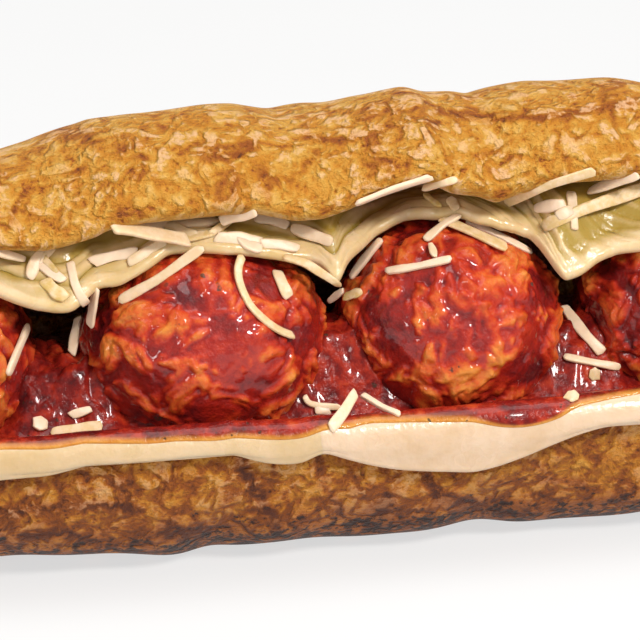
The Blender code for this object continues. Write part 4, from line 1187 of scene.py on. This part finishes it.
def sauce_height(x, y, lumps, chunks):
    """The level of the sauce, drawn up and chunky between the balls, with a rim round each ball.

    The rim falls off as e to the power of minus the distance from the ball.
    """
    drawn = saddle(x, y - axis_y(x))
    chunky = 0.9 * smooth_step(0, 4 * MM, drawn)
    height = SAUCE_LEVEL + drawn + MM * (0.28 * lumps + chunky * (0.5 * lumps + chunks - 0.5))
    for ball in BALLS:
        along = (x - ball.x) / ball.half
        across = np.hypot(y - axis_y(ball.x), height - AXIS_Z) / ball.radius
        away = (np.hypot(along, across) - 1) * ball.radius
        height = height + 1.5 * MM * np.exp(-np.maximum(away, 0) / (1.3 * MM))
    return height


def sauce_pool(finish, cheese_tree, rows=455, columns=150):
    """The sauce: level round the balls, drawn up between them, and a film over the lip of the slices.

    Each section follows the top of the lower slices; where that lies below the sauce's height, the
    height takes its place. The film ends on the seen front edge, and the section comes back
    underneath, at every UNDER_STEP-th place.
    """
    x, thin = sheet_stations(-SAUCE_REACH, SAUCE_REACH, rows, 1.0 * MM)
    end = film_end(x, cheese_tree)[:, None]
    share = end * np.linspace(0, 1, columns) ** 0.7
    path, side, swell = lower_sheet(x, share)
    flat = laid_flat(x, share)
    lumps = fractal(flat, 4.5 * MM, 501, 3, 0.55)
    chunks = creases(flat, 3.6 * MM, 511) + 0.35 * lattice_noise(flat, 1.9 * MM, 512)
    film = (0.36 + 0.14 * lumps) * MM * np.sqrt(np.clip((end - share) / 0.10, 0, 1))
    top = path + side * (cheese_top(swell) + film)[..., None]
    under = path + side * (cheese_top(swell) - 0.3 * MM)[..., None]
    height = sauce_height(flat[..., 0], top[..., 0], lumps, chunks)
    height = height - 30 * MM * smooth_step(0.58, 0.64, share)
    soft = 0.25 * MM
    top[..., 1] = top[..., 1] + soft * np.logaddexp(0, (height - top[..., 1]) / soft)
    rear = np.stack([top[:, 0, 0] + 5.5 * MM * thin, top[:, 0, 1]], axis=-1)[:, None]
    back = np.linspace(0, 1, REAR_COLUMNS, endpoint=False)[None, :, None]
    section = np.concatenate([rear + (top[:, :1] - rear) * back, top, under[:, ::-UNDER_STEP]], axis=1)
    mean = section.mean(axis=1, keepdims=True)
    section = mean + (section - mean) * thin[:, None, None]
    mark = smooth_step(0.012, 0.003, end - share)
    mark = np.concatenate([np.zeros((len(x), REAR_COLUMNS)), mark, mark[:, ::-UNDER_STEP]], axis=1)
    return grid_piece("sauce_pool", at_stations(x, section), finish, "sauce", "sauce", film=mark)


def shred_strip(line, normals, width, draw):
    """A strip's sections: a flat rounded rectangle carried along a line, cut off aslant at its ends."""
    ways = unit(np.gradient(line, axis=0))
    across = unit(np.cross(normals, ways))
    out = np.cross(ways, across)
    s = np.linspace(-1, 1, len(line))
    length = np.linalg.norm(np.diff(line, axis=0), axis=1).sum()
    closing = np.clip((1 - np.abs(s)) * length / (draw.uniform(1.0, 3.0) * width), 0, 1)
    taper = np.sqrt(np.clip(1 - (1 - closing) ** 2, 0, 1))
    blunt = draw.uniform(0.05, 0.5, 2)
    blunt = np.where(s < 0, blunt[0], blunt[1])
    wavy = 1 + 0.10 * np.sin(s * draw.uniform(2, 6) + draw.uniform(0, 6))
    wide = width / 2 * wavy * (blunt + (1 - blunt) * taper)
    deep = SHRED_THICK / 2 * draw.uniform(0.75, 1.15) * (0.45 + 0.55 * taper)
    wide[[0, -1]] *= 0.02
    deep[[0, -1]] *= 0.02
    roll = draw.normal(0, 0.22) + s * draw.normal(0, 0.2)
    slant = draw.normal(0, 0.5, 2)
    slant = np.where(s < 0, slant[0], slant[1]) * np.clip(np.abs(s) * 3 - 2, 0, 1) ** 2
    turn = np.linspace(0, 2 * math.pi, SHRED_ROUND, endpoint=False)
    u = wide[:, None] * np.sign(np.cos(turn)) * np.abs(np.cos(turn)) ** 0.45
    w = deep[:, None] * np.sign(np.sin(turn)) * np.abs(np.sin(turn)) ** 0.6
    side = u * np.cos(roll)[:, None] - w * np.sin(roll)[:, None]
    up = u * np.sin(roll)[:, None] + w * np.cos(roll)[:, None] + SHRED_THICK * 0.36
    along = u * slant[:, None]
    return (line[:, None] + across[:, None] * side[..., None] + out[:, None] * up[..., None]
            + ways[:, None] * along[..., None])


def taut(depths):
    """The curve under the depths that bends only one way: a strip pulled tight over what stands out."""
    count = len(depths)
    corners = [0]
    while corners[-1] < count - 1:
        at = corners[-1]
        ahead = np.arange(at + 1, count)
        slopes = (depths[ahead] - depths[at]) / (ahead - at)
        corners.append(int(ahead[np.argmin(slopes)]))
    return np.interp(np.arange(count), corners, depths[corners])


def landed(path, tree):
    """Where a seen path lies on the food: over what stands out, and straight across what lies back."""
    path = np.array(path, float)
    run = np.concatenate([[0], np.cumsum(np.linalg.norm(np.diff(path, axis=0), axis=1))])
    even = np.linspace(0, run[-1], SHRED_STATIONS)
    seen = np.stack([soft_line(even, run, path[:, axis], 0.07 * run[-1]) for axis in (0, 1)], axis=1)
    eye, ways = eye_rays(seen)
    hits = [tree.ray_cast(Vector(eye), Vector(way)) for way in ways]
    if any(hit[0] is None for hit in hits):
        return None
    deep = np.array([hit[3] for hit in hits])
    deep = np.minimum(deep, deep.min() + 0.6 * run[-1] * MM)
    rest = taut(deep)
    rest = np.minimum(soft_line(even, even, rest, 0.08 * run[-1]), rest + 0.15 * MM)
    normals = np.array([hit[1] for hit in hits])
    near = np.stack([soft_line(even, even, normals[:, k], 0.25 * run[-1]) for k in range(3)], 1)
    back = view_axes()[0]
    return eye + ways * rest[:, None], unit(unit(normals.mean(axis=0)) * 0.7 + near * 0.6 + back * 0.5)


def strewn_paths(row, draw):
    """Random short paths within the row's bounds, a few of them bent."""
    for _ in range(row.count):
        start = draw.uniform((row.left, row.low), (row.right, row.high))
        turn, length, bend = draw.uniform(0, math.pi), draw.uniform(4.5, 9.5), draw.normal(0, 0.9)
        way = np.array([math.cos(turn), math.sin(turn)])
        middle = start + way * length / 2 + np.array([-way[1], way[0]]) * bend
        yield (tuple(start), tuple(middle), tuple(start + way * length))


def build_shreds(finish, tree, whole_tree):
    """Every shred of cheese, as one piece of closed strips; the strewn ones keep off the crust."""
    draw = np.random.default_rng(STREWN_SEED)
    rows = [(row.width, row.path, whole_tree) for row in SHREDS]
    rows += [(draw.uniform(1.1, 1.9), path, tree) for row in STREWN for path in strewn_paths(row, draw)]
    places, faces, tints = [], [], []
    quads = grid_faces(SHRED_STATIONS, SHRED_ROUND)
    count = SHRED_STATIONS * SHRED_ROUND
    for width, path, under in rows:
        found = landed(path, under)
        if found is None:
            continue
        line, normals = found
        strip = shred_strip(line, normals, width * MM, draw)
        faces.append(quads + len(places) * count)
        places.append(strip.reshape(-1, 3))
        tints.append(np.full(count, draw.uniform(0, 0.95) ** 2.2))
    places = np.concatenate(places)
    faces = np.concatenate(faces)
    stain = 0.35 * smooth_step(24 * MM, 21 * MM, places[:, 2])
    marks = {"tint": np.concatenate(tints), "stain": stain}
    add_piece("cheese_shreds", places, faces, finish, marks, 1e-6, turn_faces=True)


# The ground, the lights and the camera

def aim(thing, place, target):
    """Puts a light or the camera at place, looking at target."""
    thing.location = place
    thing.rotation_euler = (Vector(target) - Vector(place)).to_track_quat("-Z", "Y").to_euler()


def softbox(lamp):
    """A square light that looks at the sandwich."""
    data = bpy.data.lights.new(lamp.name, "AREA")
    data.shape = "SQUARE"
    data.size = lamp.size
    data.energy = lamp.power
    data.color = lamp.colour
    light = bpy.data.objects.new(lamp.name, data)
    bpy.context.scene.collection.objects.link(light)
    aim(light, lamp.place, LAMP_TARGET)


def build_stage():
    """The pale ground, a white surround, three soft lights and the camera."""
    mesh = bpy.data.meshes.new("floor")
    corners = [(x * FLOOR_HALF, y * FLOOR_HALF, 0) for x, y in ((-1, -1), (1, -1), (1, 1), (-1, 1))]
    mesh.from_pydata(corners, [], [(0, 1, 2, 3)])
    mesh.materials.append(floor_finish())
    floor = bpy.data.objects.new("floor", mesh)
    bpy.context.scene.collection.objects.link(floor)
    world = bpy.data.worlds.new("surround")
    world.use_nodes = True
    background = world.node_tree.nodes["Background"]
    background.inputs["Color"].default_value = SURROUND_COLOUR
    background.inputs["Strength"].default_value = SURROUND_STRENGTH
    bpy.context.scene.world = world
    for lamp in LAMPS:
        softbox(lamp)
    data = bpy.data.cameras.new("camera")
    data.sensor_width = SENSOR_WIDTH
    data.lens = SENSOR_WIDTH * VIEW_DISTANCE / (2 * VIEW_HALF_WIDTH)
    camera = bpy.data.objects.new("camera", data)
    bpy.context.scene.collection.objects.link(camera)
    eye, _ = eye_rays([(0, 0)])
    aim(camera, eye, VIEW_MIDDLE)
    camera.rotation_euler.rotate_axis("Z", -VIEW_ROLL)
    bpy.context.scene.camera = camera
    bpy.context.scene.view_settings.view_transform = "Standard"


def main():
    build_stage()
    crown = build_roll(crust_finish())
    meat = meat_finish()
    food = []
    for number, ball in enumerate(BALLS, 1):
        points, coat, relief = ball_shape(ball)
        name = f"meatball_{number}"
        food.append(grid_piece(piece_name(name), points, meat, "meatball", name, coat=coat, relief=relief))
    upper = cheese_finish("cheese_upper", *UPPER_TONES)
    for number, piece in enumerate(UPPER_SLICES, 1):
        food.append(upper_slice(f"cheese_upper_{number}", piece, upper))
    lower = cheese_finish("cheese_lower", *LOWER_TONES)
    # The left lower slice has a darker copy of the lower cheese: painted shade
    shaded = cheese_finish("cheese_lower_shaded", *SHADED_TONES)
    slices = [lower_slice("cheese_lower_1", -LOWER_REACH, SLICE_SEAM + SLICE_OVERLAP, shaded),
              lower_slice("cheese_lower_2", SLICE_SEAM - SLICE_OVERLAP, LOWER_REACH, lower)]
    pool = sauce_pool(sauce_finish(), tree_of(slices))
    food += slices + [pool]
    build_shreds(shred_finish(), tree_of(food), tree_of(food + [crown]))


main()
